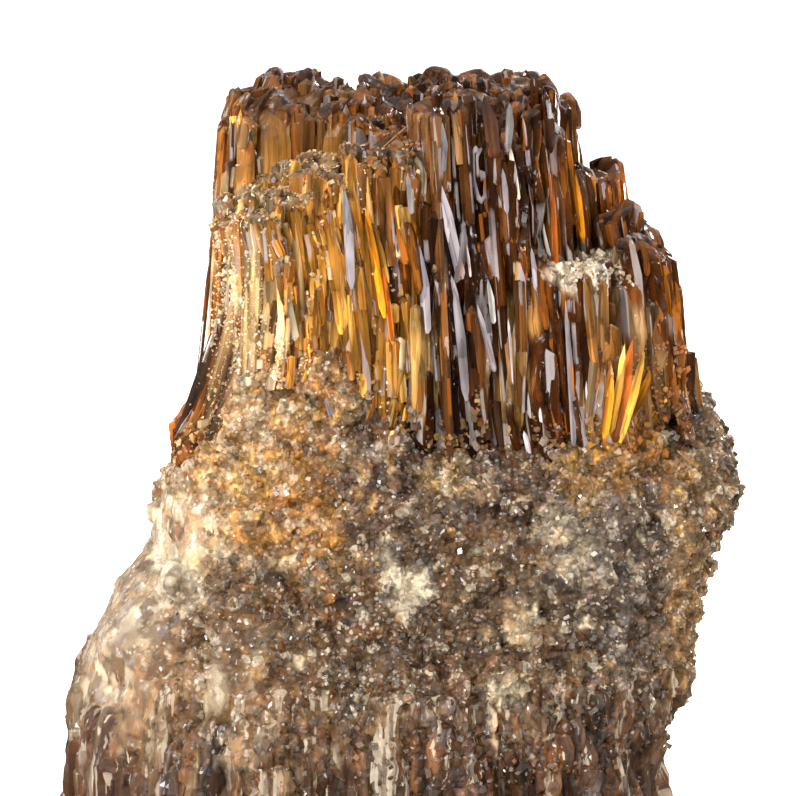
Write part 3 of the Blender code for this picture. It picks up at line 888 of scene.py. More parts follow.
def read_shape(piece):
    """The points and triangles of a modelled crystal, which is then taken away.

    The triangles are sorted, because Blender may list them in another order the next time."""
    with editing(piece):
        bpy.ops.mesh.quads_convert_to_tris()
    points = places_of(piece) * MM
    triangles = np.array(sorted(from_lowest(tuple(face.vertices)) for face in piece.data.polygons))
    print(piece.name, len(triangles), "triangles, reach", points.min(0).round(2), points.max(0).round(2))
    bpy.data.objects.remove(piece)
    return points, triangles


print("a face with the corners 3, 1, 2 is read as", from_lowest((3, 1, 2)))

# %% [markdown]
# A blade keeps its width almost to its end and is cut off square or as a chisel. A leaf swells from a thin
# foot and runs out in a slanting tip, as a cleaved face does.

# %% Blades and leaves
# Each: name, sides, width of the foot, and its rings of rise, widening and sideways step.
BLADE_SHAPES = (
    ("chisel_blade", 6, 0.45, ((0.10, 2.0, 0.0), (0.72, 1.05, 0.02), (0.15, 0.7, 0.06), (0.03, 0.5, 0.06))),
    ("square_blade", 5, 0.80, ((0.30, 1.2, 0.0), (0.64, 0.95, 0.02), (0.06, 0.6, 0.08))),
    ("long_blade", 6, 0.30, ((0.06, 2.6, 0.0), (0.84, 1.1, -0.03), (0.10, 0.4, 0.06))),
)
LEAF_SHAPES = (
    ("leaf_blade", 6, 0.25, ((0.10, 3.0, 0.02), (0.45, 1.2, -0.05), (0.30, 0.7, 0.10), (0.15, 0.2, 0.10))),
    ("slant_blade", 5, 0.30, ((0.05, 2.6, 0.0), (0.50, 1.15, -0.05), (0.30, 0.6, 0.14), (0.15, 0.15, 0.10))),
)
BLADES = [read_shape(crystal(*shape)) for shape in BLADE_SHAPES]
LEAVES = [read_shape(crystal(*shape)) for shape in LEAF_SHAPES]

# %% [markdown]
# The grains of the crust are of two kinds. A rhomb is a cube whose top is pushed aside, the cleavage shape
# of calcite. A dog-tooth is a short point. Both are modelled round their middle, so that they can be
# turned any way.

# %% Grains
def rhomb():
    """A leaning block: a cube whose top face is pushed aside."""
    deselect()
    bpy.ops.mesh.primitive_cube_add(size=0.8)
    piece = bpy.context.object
    piece.name = "rhomb"
    bpy.ops.object.mode_set(mode="EDIT")
    bpy.ops.mesh.select_all(action="DESELECT")
    bm = bmesh.from_edit_mesh(piece.data)
    for face in bm.faces:
        face.select = face.normal.z > 0.9
    bmesh.update_edit_mesh(piece.data)
    bpy.ops.transform.translate(value=(0.26, 0.14, -0.06))
    bpy.ops.object.mode_set(mode="OBJECT")
    return piece


def about_middle(shape):
    """Moves a crystal so that its middle is at the origin."""
    points, triangles = shape
    return points - (points.min(0) + points.max(0)) / 2, triangles


DOG_TOOTH = ("dog_tooth", 4, 0.4, ((0.5, 2.2, 0.05), (0.5, 0.2, 0.05)))
GRAINS = [about_middle(read_shape(shape)) for shape in (rhomb(), crystal(*DOG_TOOTH))]

# %% [markdown]
# ## Setting crystals in place
# To place a crystal, three things are needed: where its foot stands, which way it grows and which way its
# broad face looks. `grow` does this for whole arrays at once and joins the copies in one mesh. It could be
# done by instances, but an exported model keeps only real meshes.

# %% Grow many crystals
def grow(name, shapes, feet, along, facing, sizes, tints, rng, flash=0.0):
    """Joins copies of the shapes in one mesh: places and sizes in millimetres, sizes as width, depth, length.

    Each copy looks up its patterns at a place of its own, so that no two are alike."""
    along = unit(along)
    facing = unit(facing - along * (facing * along).sum(axis=1, keepdims=True))
    side = np.cross(facing, along)
    pick = rng.integers(0, len(shapes), len(feet))
    shift = rng.uniform(0, 90, (len(feet), 3))
    points, triangles, colours, growth, start = [], [], [], [], 0
    for number, (shape, faces) in enumerate(shapes):
        mine = np.flatnonzero(pick == number)
        spans = (side, facing, along)
        parts = [shape[None, :, k, None] * (spans[k] * sizes[:, k, None])[mine, None, :] for k in range(3)]
        placed = feet[mine, None, :] + parts[0] + parts[1] + parts[2]
        points.append(placed.reshape(-1, 3))
        offsets = start + np.arange(len(mine)) * len(shape)
        triangles.append((faces[None] + offsets[:, None, None]).reshape(-1, 3))
        colours.append(np.repeat(tints[mine], len(shape), axis=0))
        local = shape[None] * sizes[mine, None, :] + shift[mine, None, :]
        growth.append(local.reshape(-1, 3))
        start += placed.shape[0] * placed.shape[1]
    mesh = bpy.data.meshes.new(name)
    mesh.from_pydata((np.concatenate(points) * MM).tolist(), [], np.concatenate(triangles).tolist())
    piece = bpy.data.objects.new(name, mesh)
    bpy.context.scene.collection.objects.link(piece)
    store(piece, "tint", np.concatenate(colours))
    store(piece, "growth", np.concatenate(growth))
    store(piece, "flash", np.full(len(mesh.vertices), flash))
    return piece


print("crystals to copy:", len(BLADES), "blades,", len(LEAVES), "leaves and", len(GRAINS), "grains")

# %% [markdown]
# ## Grains that stand out
# Over the druse faces stand single grains of up to a millimetre, dull ones and clear ones that sparkle.
# Sizes follow a long-tailed law, as real grains do: many small ones and a few large. The two finishes are
# separate pieces, because clear and dull crystal need different shaders.

# %% Strew the grains
GRAIN_COUNT = 3600
GRAIN_WIDTH = 0.38
GRAIN_REACH = (0.2, 0.8)
GRAIN_BRIGHTNESS = 0.68
SMOOTH_FROM = 0.55


def on_upper_crust(middles, out):
    """True on the crust, except low down, where ribs show."""
    rough = blot(middles, 0.0, SMOOTH_CRUST) < SMOOTH_FROM
    return on_crust(middles, out) & (middles[:, 2] > FOOT_LEVEL - 6) & rough


def strew(name, count, seed):
    """Grains strewn over the crust, each with a chance turn, size and colour of its place."""
    rng = np.random.default_rng(seed)
    places, out, area = scatter(crust, count, rng, on_upper_crust)
    turn = unit(rng.normal(size=(count, 3)) + out * 0.8)
    facing = rng.normal(size=(count, 3))
    wide = np.clip(GRAIN_WIDTH * np.exp(rng.normal(0, 0.33, count)), *GRAIN_REACH)
    sizes = np.stack([wide, wide * rng.uniform(0.7, 1.1, count), wide * rng.uniform(0.9, 1.5, count)], axis=1)
    tints = drawn(crust_shares(places), rng, own=0.35) * GRAIN_BRIGHTNESS
    print(name, count, "grains on", round(area), "square mm")
    return grow(name, GRAINS, places, turn, facing, sizes, tints, rng)


dull_grains = strew("dull_grains", GRAIN_COUNT, seed=11)
clear_grains = strew("clear_grains", GRAIN_COUNT, seed=12)

# %% [markdown]
# The dull grains share one finish, worn sugar. The clear ones are see-through, tinted by iron and a little
# dusty, so their transmission is not full.

# %% Grain materials
def per_mm(width):
    """The scale of a pattern with cells of a width in millimetres, for coordinates in metres."""
    return 1000 / width


sugar, tree, shader, _ = new_material("sugar_grain")
where = add_node(tree, "TexCoord")
stain = add_node(tree, "Attribute", {"attribute_name": "tint"})
cloud = add_node(tree, "TexNoise", {"Scale": per_mm(0.6), "Detail": 3.0}, {"Vector": where.outputs["Object"]})
shade = add_node(tree, "MapRange", {"To Min": 0.7, "To Max": 1.3}, {"Value": cloud.outputs["Fac"]})
tinted = add_node(tree, "VectorMath", {"operation": "SCALE"},
                  {0: stain.outputs["Vector"], "Scale": shade.outputs["Result"]})
tree.links.new(tinted.outputs["Vector"], shader.inputs["Base Color"])
shader.inputs["Roughness"].default_value = 0.3
shader.inputs["IOR"].default_value = GRAIN_IOR
finish_piece(dull_grains, sugar)

clear_sugar, tree, shader, output = new_material("clear_sugar_grain")
where = add_node(tree, "TexCoord")
stain = add_node(tree, "Attribute", {"attribute_name": "tint"})
cloud = add_node(tree, "TexNoise", {"Scale": per_mm(1.2), "Detail": 2.0}, {"Vector": where.outputs["Object"]})
paler = add_node(tree, "Mix", {"data_type": "RGBA", 7: (0.9, 0.8, 0.65, 1)},
                 {0: cloud.outputs["Fac"], 6: stain.outputs["Vector"]})
tree.links.new(paler.outputs[2], shader.inputs["Base Color"])
shader.inputs["Roughness"].default_value = 0.06
shader.inputs["IOR"].default_value = GRAIN_IOR
shader.inputs["Transmission Weight"].default_value = 0.75
finish_piece(clear_grains, clear_sugar)

# %% [markdown]
# ## The heart of the bundle
# Deep in the bundle the crystal is full of fine cracks and dust, and no light comes back through it. That
# is the heart: an opaque body inside the clear crystal. Its colour is what one sees through the clear
# faces, almost black in the middle and honey at the left of the front. It stops short of the right edge,
# so there the light shines right through the clear crystal.

# %% Heart of the bundle
HEART_FOOT = 40 * MM
HEART_VOXEL = 0.8 * MM
HEART_SHARE = np.array((0.90, 0.84))
HEART_RIGHT = 0.52
HEART_DROP = 1.2

HEART_SPOTS = (
    (-9.0, 64.0, 8.0, 13.0, 7.0, mix(honey=4, gold=4, orange=2)),
    (-15.0, 62.0, 4.0, 10.0, 6.0, mix(gold=4, cream=3, honey=1)),
    (-1.5, 63.0, 3.0, 9.0, 4.0, mix(orange=4, honey=2, brown=2)),
    (4.0, 52.5, 4.0, 2.5, 3.0, mix(gold=3, honey=2, brown=2)),
    (11.5, 52.0, 3.0, 3.0, 3.0, mix(gold=2, honey=2, brown=3)),
)
HEART_MIX = mix(root_beer=5, black=3, umber=3, brown=1)

heart = copy_of_solid("crystal_heart")
cut_level(heart, HEART_FOOT, keep_below=False)
melt(heart, HEART_VOXEL)
rows = places_of(heart)
colours = spread(rows, HEART_SPOTS, HEART_MIX) @ INK_COLOURS
offset = rows[:, :2] - BUNDLE_MIDDLE
offset *= HEART_SHARE
offset[:, 0] *= np.where(offset[:, 0] > 0, HEART_RIGHT / HEART_SHARE[0], 1.0)
rows[:, :2] = BUNDLE_MIDDLE + offset
rows[:, 2] -= HEART_DROP
move_points(heart, rows)
store(heart, "tint", colours)
print("heart from", rows.min(0).round(1), "to", rows.max(0).round(1))

# %% [markdown]
# The heart's finish is matt, with upright streaks where cracks are thick, darker and paler than its tint.

# %% Heart material
cracked, tree, shader, _ = new_material("cracked_dark_crystal")
where = add_node(tree, "TexCoord")
stain = add_node(tree, "Attribute", {"attribute_name": "tint"})
upright = add_node(tree, "Mapping", {"Scale": (1, 1, 0.12)}, {"Vector": where.outputs["Object"]})
streak = add_node(tree, "TexNoise", {"Scale": per_mm(1.4), "Detail": 4.0, "Roughness": 0.7},
                  {"Vector": upright.outputs["Vector"]})
shade = add_node(tree, "MapRange", {"From Min": 0.3, "From Max": 0.7, "To Min": 0.25, "To Max": 1.9},
                 {"Value": streak.outputs["Fac"]})
tinted = add_node(tree, "VectorMath", {"operation": "SCALE"},
                  {0: stain.outputs["Vector"], "Scale": shade.outputs["Result"]})
slope = add_node(tree, "Bump", {"Strength": 0.6, "Distance": 0.4 * MM}, {"Height": streak.outputs["Fac"]})
tree.links.new(tinted.outputs["Vector"], shader.inputs["Base Color"])
tree.links.new(slope.outputs["Normal"], shader.inputs["Normal"])
shader.inputs["Roughness"].default_value = 0.4
finish_piece(heart, cracked)

# %% [markdown]
# ## Clear amber-brown crystal
# The bundle is clear brown crystal. Most of its colour is not painted on: light loses its blue and green on
# the way through, so thin edges glow orange and thick places go dark. A Volume Absorption node does that,
# and its density comes from how much light is left after 10 mm.

# %% Clear crystal material
LEFT_AFTER_10MM = (0.60, 0.24, 0.05)
CRYSTAL_IOR = 1.58


def absorption(left):
    """Colour and density of an absorbing volume that leaves these shares of light after 10 mm."""
    loss = [-math.log(share) / (10 * MM) for share in left]
    most = max(loss)
    return (*(1 - value / most for value in loss), 1), most


def make_clear(tree, output, shader, left):
    """Makes a shader see-through: plain transmission and IOR, and a volume that absorbs."""
    colour, density = absorption(left)
    shader.inputs["Transmission Weight"].default_value = 1.0
    shader.inputs["IOR"].default_value = CRYSTAL_IOR
    volume = add_node(tree, "VolumeAbsorption", {"Color": colour, "Density": density})
    tree.links.new(volume.outputs["Volume"], output.inputs["Volume"])
    print("absorbs", round(density), "per metre")


print("blue left after 10 mm:", LEFT_AFTER_10MM[2])

# %% [markdown]
# ## How high the columns stand
# A crystal on the side of the bundle must end where the bundle is broken off, so the top over each place
# has to be known. A search tree of the solid answers that: a line is dropped from above, a little inside
# the wall, and where it first meets the solid is the top there.

# %% Tops of the columns
INSIDE_WALL = 0.9
SKY = 200.0
tree_points = places_of(solid)
tree_faces = [tuple(face.vertices) for face in solid.data.polygons]
solid_tree = BVHTree.FromPolygons(tree_points.tolist(), tree_faces)


def top_at(x, y):
    """The height of the solid's top at a place, in millimetres, or 0 beside it."""
    hit = solid_tree.ray_cast(Vector((x, y, SKY)), Vector((0, 0, -1)))[0]
    return hit.z if hit else 0.0


def tops_over(places, out):
    """The height at which the bundle is broken off over each place of its wall."""
    inner = places - out * INSIDE_WALL
    tops = np.array([top_at(x, y) for x, y in inner[:, :2]])
    along = lean_at(places[:, 0])
    moved = inner + along * ((tops - places[:, 2]) / along[:, 2])[:, None]
    return np.array([top_at(x, y) for x, y in moved[:, :2]])


print("top over the middle", round(top_at(4.0, 3.0), 1), "mm")

# %% [markdown]
# ## Colours of the columns
# The bundle is almost black-brown in the middle, honey and gold at the left of the front, orange where it
# is thin, and mauve-brown behind the shelf. Again these are spots, each a mix from the one palette.

# %% Colour spots of the columns
COLUMN_SPOTS = (
    (-9.0, 80.0, 11.5, 6.0, 9.0, mix(tan=3, brown=6, orange=2, umber=1)),
    (-18.8, 73.0, 2.5, 6.0, 8.0, mix(orange=4, brown=4, honey=2, tan=1)),
    (-21.0, 57.0, 2.5, 10.0, 8.0, mix(brown=5, tan=2, orange=2)),
    (-20.5, 50.0, 3.5, 5.0, 12.0, mix(orange=7, brown=2, honey=2)),
    (-10.5, 65.0, 7.5, 11.0, 9.0, mix(honey=7, gold=9, flame=3, cream=1, orange=1)),
    (-16.6, 60.0, 2.8, 10.0, 12.0, mix(cream=7, gold=3, white=2)),
    (-0.5, 71.0, 2.6, 8.0, 6.0, mix(orange=5, honey=3, brown=3)),
    (-0.5, 58.0, 3.5, 5.0, 4.0, mix(gold=2, honey=2, brown=4)),
    (12.5, 72.0, 2.6, 10.0, 4.0, mix(brown=6, orange=3, umber=4, root_beer=2)),
    (15.4, 70.0, 1.6, 9.0, 7.0, mix(orange=4, brown=5, honey=1, root_beer=1)),
    (14.0, 60.0, 4.5, 12.0, 5.0, mix(root_beer=6, umber=3, brown=3, orange=1)),
    (12.4, 62.8, 1.8, 1.8, 9.0, mix(gold=4, honey=3, cream=1)),
    (11.2, 56.2, 2.0, 1.8, 6.0, mix(gold=4, cream=2, honey=2)),
    (1.5, 57.5, 2.5, 2.6, 5.0, mix(gold=4, cream=2, brown=2)),
    (21.0, 75.0, 3.0, 4.0, 12.0, mix(orange=7, flame=3, brown=2)),
    (24.8, 63.5, 4.0, 7.0, 12.0, mix(orange=2, brown=3, root_beer=5, umber=2)),
    (28.6, 62.0, 1.6, 7.0, 9.0, mix(orange=4, flame=2)),
    (25.5, 56.0, 4.0, 4.0, 6.0, mix(tan=3, brown=4, cream=1, umber=2, gold=1)),
    (22.6, 55.0, 2.8, 5.2, 14.0, mix(orange=5, honey=5, flame=1, gold=4, cream=2)),
    (23.6, 61.0, 1.6, 1.8, 8.0, mix(cream=4, gold=3, tan=2)),
    (19.0, 66.4, 2.2, 1.2, 30.0, mix(white=4, cream=4, gold=2)),
)
COLUMN_MIX = mix(root_beer=7, umber=4, brown=1, black=5)
print(len(COLUMN_SPOTS), "spots on the columns")

# %% [markdown]
# Painted glints, pale flashes of reflected light painted into the colour, lie thickest over the dark middle.
# In the honey-coloured part and on the back wall the blades are fused and differ less, and the broken ends
# are dusted with rubble.

# %% Flashes, calm places and rubble
# Where painted glints are thickest: centre x and z, half width and half height, and their share.
FLASH_SPOTS = (
    (5.0, 64.0, 8.0, 17.0, 0.28),
    (18.5, 57.0, 3.0, 7.0, 0.4),
    (-10.5, 65.0, 6.0, 11.0, 0.16),
    (-8.0, 80.0, 10.0, 6.0, 0.08),
)
# Where the blades are fused and differ less: the honey-coloured part and the back wall.
CALM_SPOTS = (
    (-10.5, 64.0, 8.0, 13.0, 0.68),
    (-9.0, 80.0, 12.0, 6.0, 0.42),
    (21.0, 75.0, 3.0, 4.0, 0.4),
    (22.6, 55.0, 2.8, 5.2, 0.3),
    (-20.5, 50.0, 3.5, 5.0, 0.3),
    (24.5, 64.0, 4.5, 7.0, 0.25),
)
RUBBLE_SPOTS = (
    (-8.0, 71.0, 13.0, 6.0, 9.0, mix(tan=6, brown=3, cream=3, gold=3, umber=2)),
    (19.2, 66.0, 3.0, 2.0, 14.0, mix(white=4, cream=4, gold=3)),
)
RUBBLE_MIX = mix(brown=7, umber=4, orange=1, tan=1)
print(len(FLASH_SPOTS), "spots of flashes and", len(CALM_SPOTS), "calm ones")

# %% [markdown]
# Each kind of piece has a mix for each place. Some kinds have the same mix all over: the facets in the
# honey-coloured part, the dust on it, and the painted glints.

# %% Colour mixes of the kinds
HONEY_MIX = mix(honey=6, gold=8, cream=3, lilac=1, brown=1.5, flame=3, orange=2)
CREAM_MIX = mix(cream=5, gold=3, tan=2, white=1)
PAINTED_GLINT_MIX = mix(lilac=6, grey=4, cream=1, white=1)


def column_shares(places):
    """The colour mix of the clear crystals at each place, in upright patches."""
    return patchy(spread(places, COLUMN_SPOTS, COLUMN_MIX), places, size=1.6, stretch=5.0, pull=3.0)


def rubble_shares(places):
    """The colour mix of what lies on the broken ends."""
    return spread(places, RUBBLE_SPOTS, RUBBLE_MIX)


def honey_shares(places):
    """The colour mix of the short facets in the honey-coloured part, the same all over."""
    return spread(places, (), HONEY_MIX)


def cream_shares(places):
    """The colour mix of dust on the honey-coloured part, the same all over."""
    return spread(places, (), CREAM_MIX)


def painted_glint_shares(places):
    """The colour mix of the painted glints, reflections of the light painted grey-lilac, the same all over.
    """
    return spread(places, (), PAINTED_GLINT_MIX)


print("dust is mostly", INKS[CREAM_MIX.argmax()])

# %% [markdown]
# ## The crystal skin
# The visible crystal is a second skin made from the solid, which it stands for from here on. Its steep
# sides are cut into long blades, finer in the honey-coloured part and broader on the back wall and on the
# steps at the right, and its broken ends into small steps. A blade is a roof of two flat faces with one
# brightness of its own, so that it stands out from its neighbours.

# %% Where the kinds of crystal are
BREAK_FROM = 56.0
STEEP = 0.5


def on_columns(middles, out):
    """True on steep faces above the crust's edge."""
    return (middles[:, 2] > seam_at(middles[:, 0], middles[:, 1]) - 3.0) & (np.abs(out[:, 2]) < STEEP)


def on_broad(middles, out):
    """True on the broad columns: the wall behind the shelf, and the steps at the right."""
    x = mirrored(middles)
    wall = (middles[:, 1] > 3) & (middles[:, 1] < 11) & (middles[:, 0] < 3) & (middles[:, 2] > 68)
    steps = (x > 20.5) & (middles[:, 2] > 57)
    return on_columns(middles, out) & (wall | steps)


def on_blades(middles, out):
    """True on steep faces that have no broad columns."""
    return on_columns(middles, out) & ~on_broad(middles, out)


def on_honey(middles, out):
    """True on the honey-coloured part of the columns, and on the same part of the back."""
    x = mirrored(middles)
    return on_columns(middles, out) & (x > -17) & (x < 0.5) & (middles[:, 2] < 77)


def on_break(middles, out):
    """True on faces that look up, above the crust."""
    return (middles[:, 2] > BREAK_FROM) & (np.abs(out[:, 2]) >= STEEP)


def over_seam(middles, out):
    """True on steep faces clearly above the crust's edge, where a single blade can stand."""
    above = middles[:, 2] > seam_at(middles[:, 0], middles[:, 1]) + SEAM_MARGIN
    return on_columns(middles, out) & above


print("broken ends lie above", BREAK_FROM, "mm")

# %% [markdown]
# Each kind gets its own number of seeds, and all of them cut the skin together. Colour and brightness are
# stored for each place, with painted shade in the crevices between blades, and so are how calm it is, how
# many painted glints it gets and how dusty it is. Below the crust's edge the skin is tucked in, so that the
# crust covers its foot.

# %% Cut the crystal skin
SKIN_VOXEL = 0.30 * MM
SKIN_FOOT = 42 * MM
BLADE_STRETCH = 7.0
SKIN_SEEDS = ((on_blades, 640), (on_honey, 420), (on_broad, 44), (on_break, 200))
SKIN_CUT = {"stretch": BLADE_STRETCH, "step": 0.30, "slant": (0.30, 0.05), "limit": 1.0}
FLASH_BASE = 0.03
CALM_WANDER = 0.7
CALM_GLOW = 2.4
DUSTY_SLOPE = 0.3
TUCK = 0.17
TUCK_DEPTH = 2.0
SKIN_SINK = 0.5

skin = copy_of_solid("crystal_skin")
cut_level(skin, SKIN_FOOT, keep_below=False)
melt(skin, SKIN_VOXEL)
rng = np.random.default_rng(9)
found = [scatter(solid, count, rng, keep) for keep, count in SKIN_SEEDS]
seeds = np.concatenate([places for places, _, _ in found])
seeds_out = np.concatenate([out for _, out, _ in found])
rows = places_of(skin)
growth = squeezed(rows, BLADE_STRETCH) * (1, 1, BLADE_STRETCH)
flash = blot(rows, FLASH_BASE, FLASH_SPOTS)
calm = blot(rows, 0.0, CALM_SPOTS)
growth[:, 0] += CALM_WANDER * calm * waves(rows, 1.3, 2.5)
out = directions_of(skin)
dusty = ramp(out[:, 2] - DUSTY_SLOPE, DUSTY_SLOPE) * (rows[:, 2] > BREAK_FROM)
tints = column_shares(rows) @ INK_COLOURS * (0.85 + CALM_GLOW * calm[:, None])
tints += (rubble_shares(rows) @ INK_COLOURS - tints) * dusty[:, None]
moved, cell, crest = carve(rows, out, seeds, seeds_out, rng, **SKIN_CUT)
# Each blade keeps a brightness of its own, and painted shade darkens it towards the crevices round it.
tints *= np.exp(rng.normal(0, 0.3, len(seeds)))[cell, None] * brightness(crest, 0.3, 1.1, depth=0.4)
below = ramp(seam_at(rows[:, 0], rows[:, 1]) + 0.5 - rows[:, 2], TUCK_DEPTH)[:, None]
moved[:, :2] += (BUNDLE_MIDDLE - moved[:, :2]) * below * TUCK
moved -= out * SKIN_SINK
move_points(skin, moved)
store(skin, "tint", tints)
store(skin, "growth", growth)
store(skin, "flash", flash)
store(skin, "calm", calm)
store(skin, "dusty", dusty)
thin_out(skin, MOST_TRIANGLES)
print("crystal skin is cut into", len(seeds), "crystals")

# %% [markdown]
# A carved skin gives the broad blades. The finer ones, half a millimetre wide, are drawn in the material by
# the same cell pattern as the druse, pulled long along the growth, and painted darker towards their edges as
# shade in the gaps. Some cells are painted pale: a painted reflection, the silky, lens-shaped flash of light
# that a cleavage face mirrors. A few threads are painted orange, as a painted glow of light through thin
# crystal.

# %% Crystal skin material
# painted reflection: the grey-lilac colour of the glints painted on the crystal
PAINTED_GLINT_COLOUR = (*linear("#ccbebb"), 1)
# painted glow: the orange of a few threads, as of light shining through thin crystal
PAINTED_GLOW_COLOUR = (*linear("#b8671c"), 1)
PAINTED_GLOW_SHARE = 0.07


def blade_material(name, width, roughness, contrast, steep=0.3):
    """A crystal material with blades of a width in millimetres, tinted by its piece: painted shade, glints,
    glow.
    """
    material, tree, shader, output = new_material(name)
    place = add_node(tree, "Attribute", {"attribute_name": "growth"}).outputs["Vector"]
    share = add_node(tree, "Attribute", {"attribute_name": "flash"}).outputs["Fac"]
    dusty = add_node(tree, "Attribute", {"attribute_name": "dusty"}).outputs["Fac"]
    blades, chance, bump = small_faces(tree, place, width, 7.0, steep, metric="CHEBYCHEV")
    threads, thread_chance, fine_bump = small_faces(tree, place, width * 0.34, 11.0, steep * 0.5,
                                                    normal=bump.outputs["Normal"], metric="CHEBYCHEV")
    long_place = add_node(tree, "VectorMath", {"operation": "MULTIPLY", 1: (1, 1, 0.25)}, {0: place})
    clouds = add_node(tree, "TexNoise", {"Scale": 0.45, "Detail": 3.0}, {"Vector": long_place.outputs[0]})
    painted = shaded(tree, (
        (chance.outputs["X"], 0, 1, 1 - 0.6 * contrast, 1 + 0.8 * contrast),
        (thread_chance.outputs["Y"], 0, 1, 1 - 0.4 * contrast, 1 + 0.5 * contrast),
        # painted shade: each blade is painted darker towards its edges, in the gaps between blades
        (blades.outputs["Distance"], 0.3, 0.65, 1.05, 1 - 0.6 * contrast),
        (clouds.outputs["Fac"], 0.35, 0.65, 0.55, 1.6)))
    # painted glow: a few threads are painted orange, where light would shine through thin crystal
    few = add_node(tree, "Value")
    few.outputs[0].default_value = PAINTED_GLOW_SHARE * contrast
    painted_glow = lens(tree, threads, thread_chance.outputs["X"], few.outputs[0])
    glowing = add_node(tree, "Mix", {"data_type": "RGBA", 7: PAINTED_GLOW_COLOUR}, {0: painted_glow, 6: painted})
    large = lens(tree, blades, chance.outputs["Z"], share)
    small = lens(tree, threads, thread_chance.outputs["Z"], share)
    either = add_node(tree, "Math", {"operation": "MAXIMUM"}, {0: large, 1: small})
    dimmed = add_node(tree, "MapRange", {"From Min": 0.35, "From Max": 0.6, "To Min": 0.3, "To Max": 1.0},
                      {"Value": clouds.outputs["Fac"]})
    pale = add_node(tree, "Math", {"operation": "MULTIPLY"}, {0: either.outputs[0], 1: dimmed.outputs[0]})
    both = add_node(tree, "Mix", {"data_type": "RGBA", 7: PAINTED_GLINT_COLOUR},
                    {0: pale.outputs[0], 6: glowing.outputs[2]})
    polish = add_node(tree, "MapRange", {"To Min": roughness, "To Max": 0.6}, {"Value": dusty})
    tree.links.new(both.outputs[2], shader.inputs["Base Color"])
    tree.links.new(fine_bump.outputs["Normal"], shader.inputs["Normal"])
    tree.links.new(polish.outputs[0], shader.inputs["Roughness"])
    shader.inputs["Specular IOR Level"].default_value = 0.22
    return material, tree, shader, output


clear_amber, tree, shader, output = blade_material("clear_amber_calcite", width=1.25, roughness=0.09,
                                                   contrast=1.0, steep=0.36)
make_clear(tree, output, shader, LEFT_AFTER_10MM)
shader.inputs["Transmission Weight"].default_value = 0.45
finish_piece(skin, clear_amber)
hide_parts("raw_amber")

# %% [markdown]
# ## Single blades
# Several hundred slender blades stand proud of the skin, half sunk in it, and break up its outline. They
# are strewn over the steep faces by area, follow the lean of their place, and look outwards with a chance
# turn. Their edges are perfectly straight, which the carved skin's are not. In the honey-coloured part,
# where the crystal is much cracked, short facets lie over them.

# %% Blades strewn over the sides
BLADE_SINK = 0.8
BREAK_SPREAD = 0.35


def thatch(name, shapes, count, lengths, widths, shares, seed, proud, yaw=0.3, sway=0.03, extra_lean=0.0,
           through=0.0, own=0.7, keep=over_seam):
    """Crystals strewn over steep faces: lengths and widths as lowest and highest, in millimetres.

    through is the share that runs on to the break, and proud how far the foot stands out, in widths."""
    rng = np.random.default_rng(seed)
    places, out, area = scatter(solid, count, rng, keep)
    wide = rng.uniform(*widths, count)
    along = lean_at(places[:, 0], extra_lean) + rng.normal(0, sway, (count, 3))
    facing = out + rng.normal(0, yaw, (count, 3))
    highest = tops_over(places, out) + rng.normal(0, BREAK_SPREAD, count)
    lowest = seam_at(places[:, 0], places[:, 1]) - BLADE_SINK
    full = rng.random(count) < through
    length = np.where(full, highest - lowest, np.minimum(rng.uniform(*lengths, count), highest - lowest))
    feet_z = np.clip(places[:, 2] - length / 2, lowest, np.maximum(highest - length, lowest))
    feet = places + along * ((feet_z - places[:, 2]) / along[:, 2])[:, None]
    feet += out * (wide * proud)[:, None]
    sizes = np.stack([wide, wide * rng.uniform(0.4, 0.8, count), np.maximum(length, 1.0)], axis=1)
    print(name, count, "crystals on", round(area), "square mm")
    tints = drawn(shares(places), rng, own=own)
    return grow(name, shapes, feet, along, facing, sizes, tints, rng, flash=0.08)


brown_blades = thatch("brown_blades", BLADES, 700, lengths=(4, 14), widths=(0.9, 2.6), shares=column_shares,
                      seed=21, proud=-0.14, through=0.12, own=0.25)
honey_facets = thatch("honey_facets", BLADES, 620, lengths=(1.2, 3.6), widths=(0.7, 1.6), shares=honey_shares,
                      seed=23, proud=-0.12, yaw=0.6, sway=0.1, own=0.6, keep=on_honey)
finish_piece(honey_facets, clear_amber)

# %% [markdown]
# ## Painted glints
# Where a crystal has cleaved, its flat face is silky and mirrors the light as one long grey-lilac flash;
# these blades carry that reflection painted into their colour. These lie thickest over the dark middle, and
# lean a little more than the columns under them.

# %% Painted glint faces
def on_dark_middle(middles, out):
    """True on the columns, away from the honey-coloured part and the outer edges."""
    x = mirrored(middles)
    return over_seam(middles, out) & (x > -4) & (x < 21)


painted_glint_blades = thatch("painted_glint_blades", LEAVES, 90, lengths=(2.5, 7), widths=(0.4, 0.9), shares=painted_glint_shares,
                     seed=22, proud=-0.1, yaw=0.4, sway=0.04, extra_lean=-4.0, keep=on_dark_middle)
finish_piece(brown_blades, clear_amber)

# %% [markdown]
# Some blades are larger than the rest and are what one remembers of the piece: long pale flashes in the
# middle, an orange flame, a golden streak at the right. They are set one by one, from foot to tip. A line
# from the front finds how far out the solid is there.

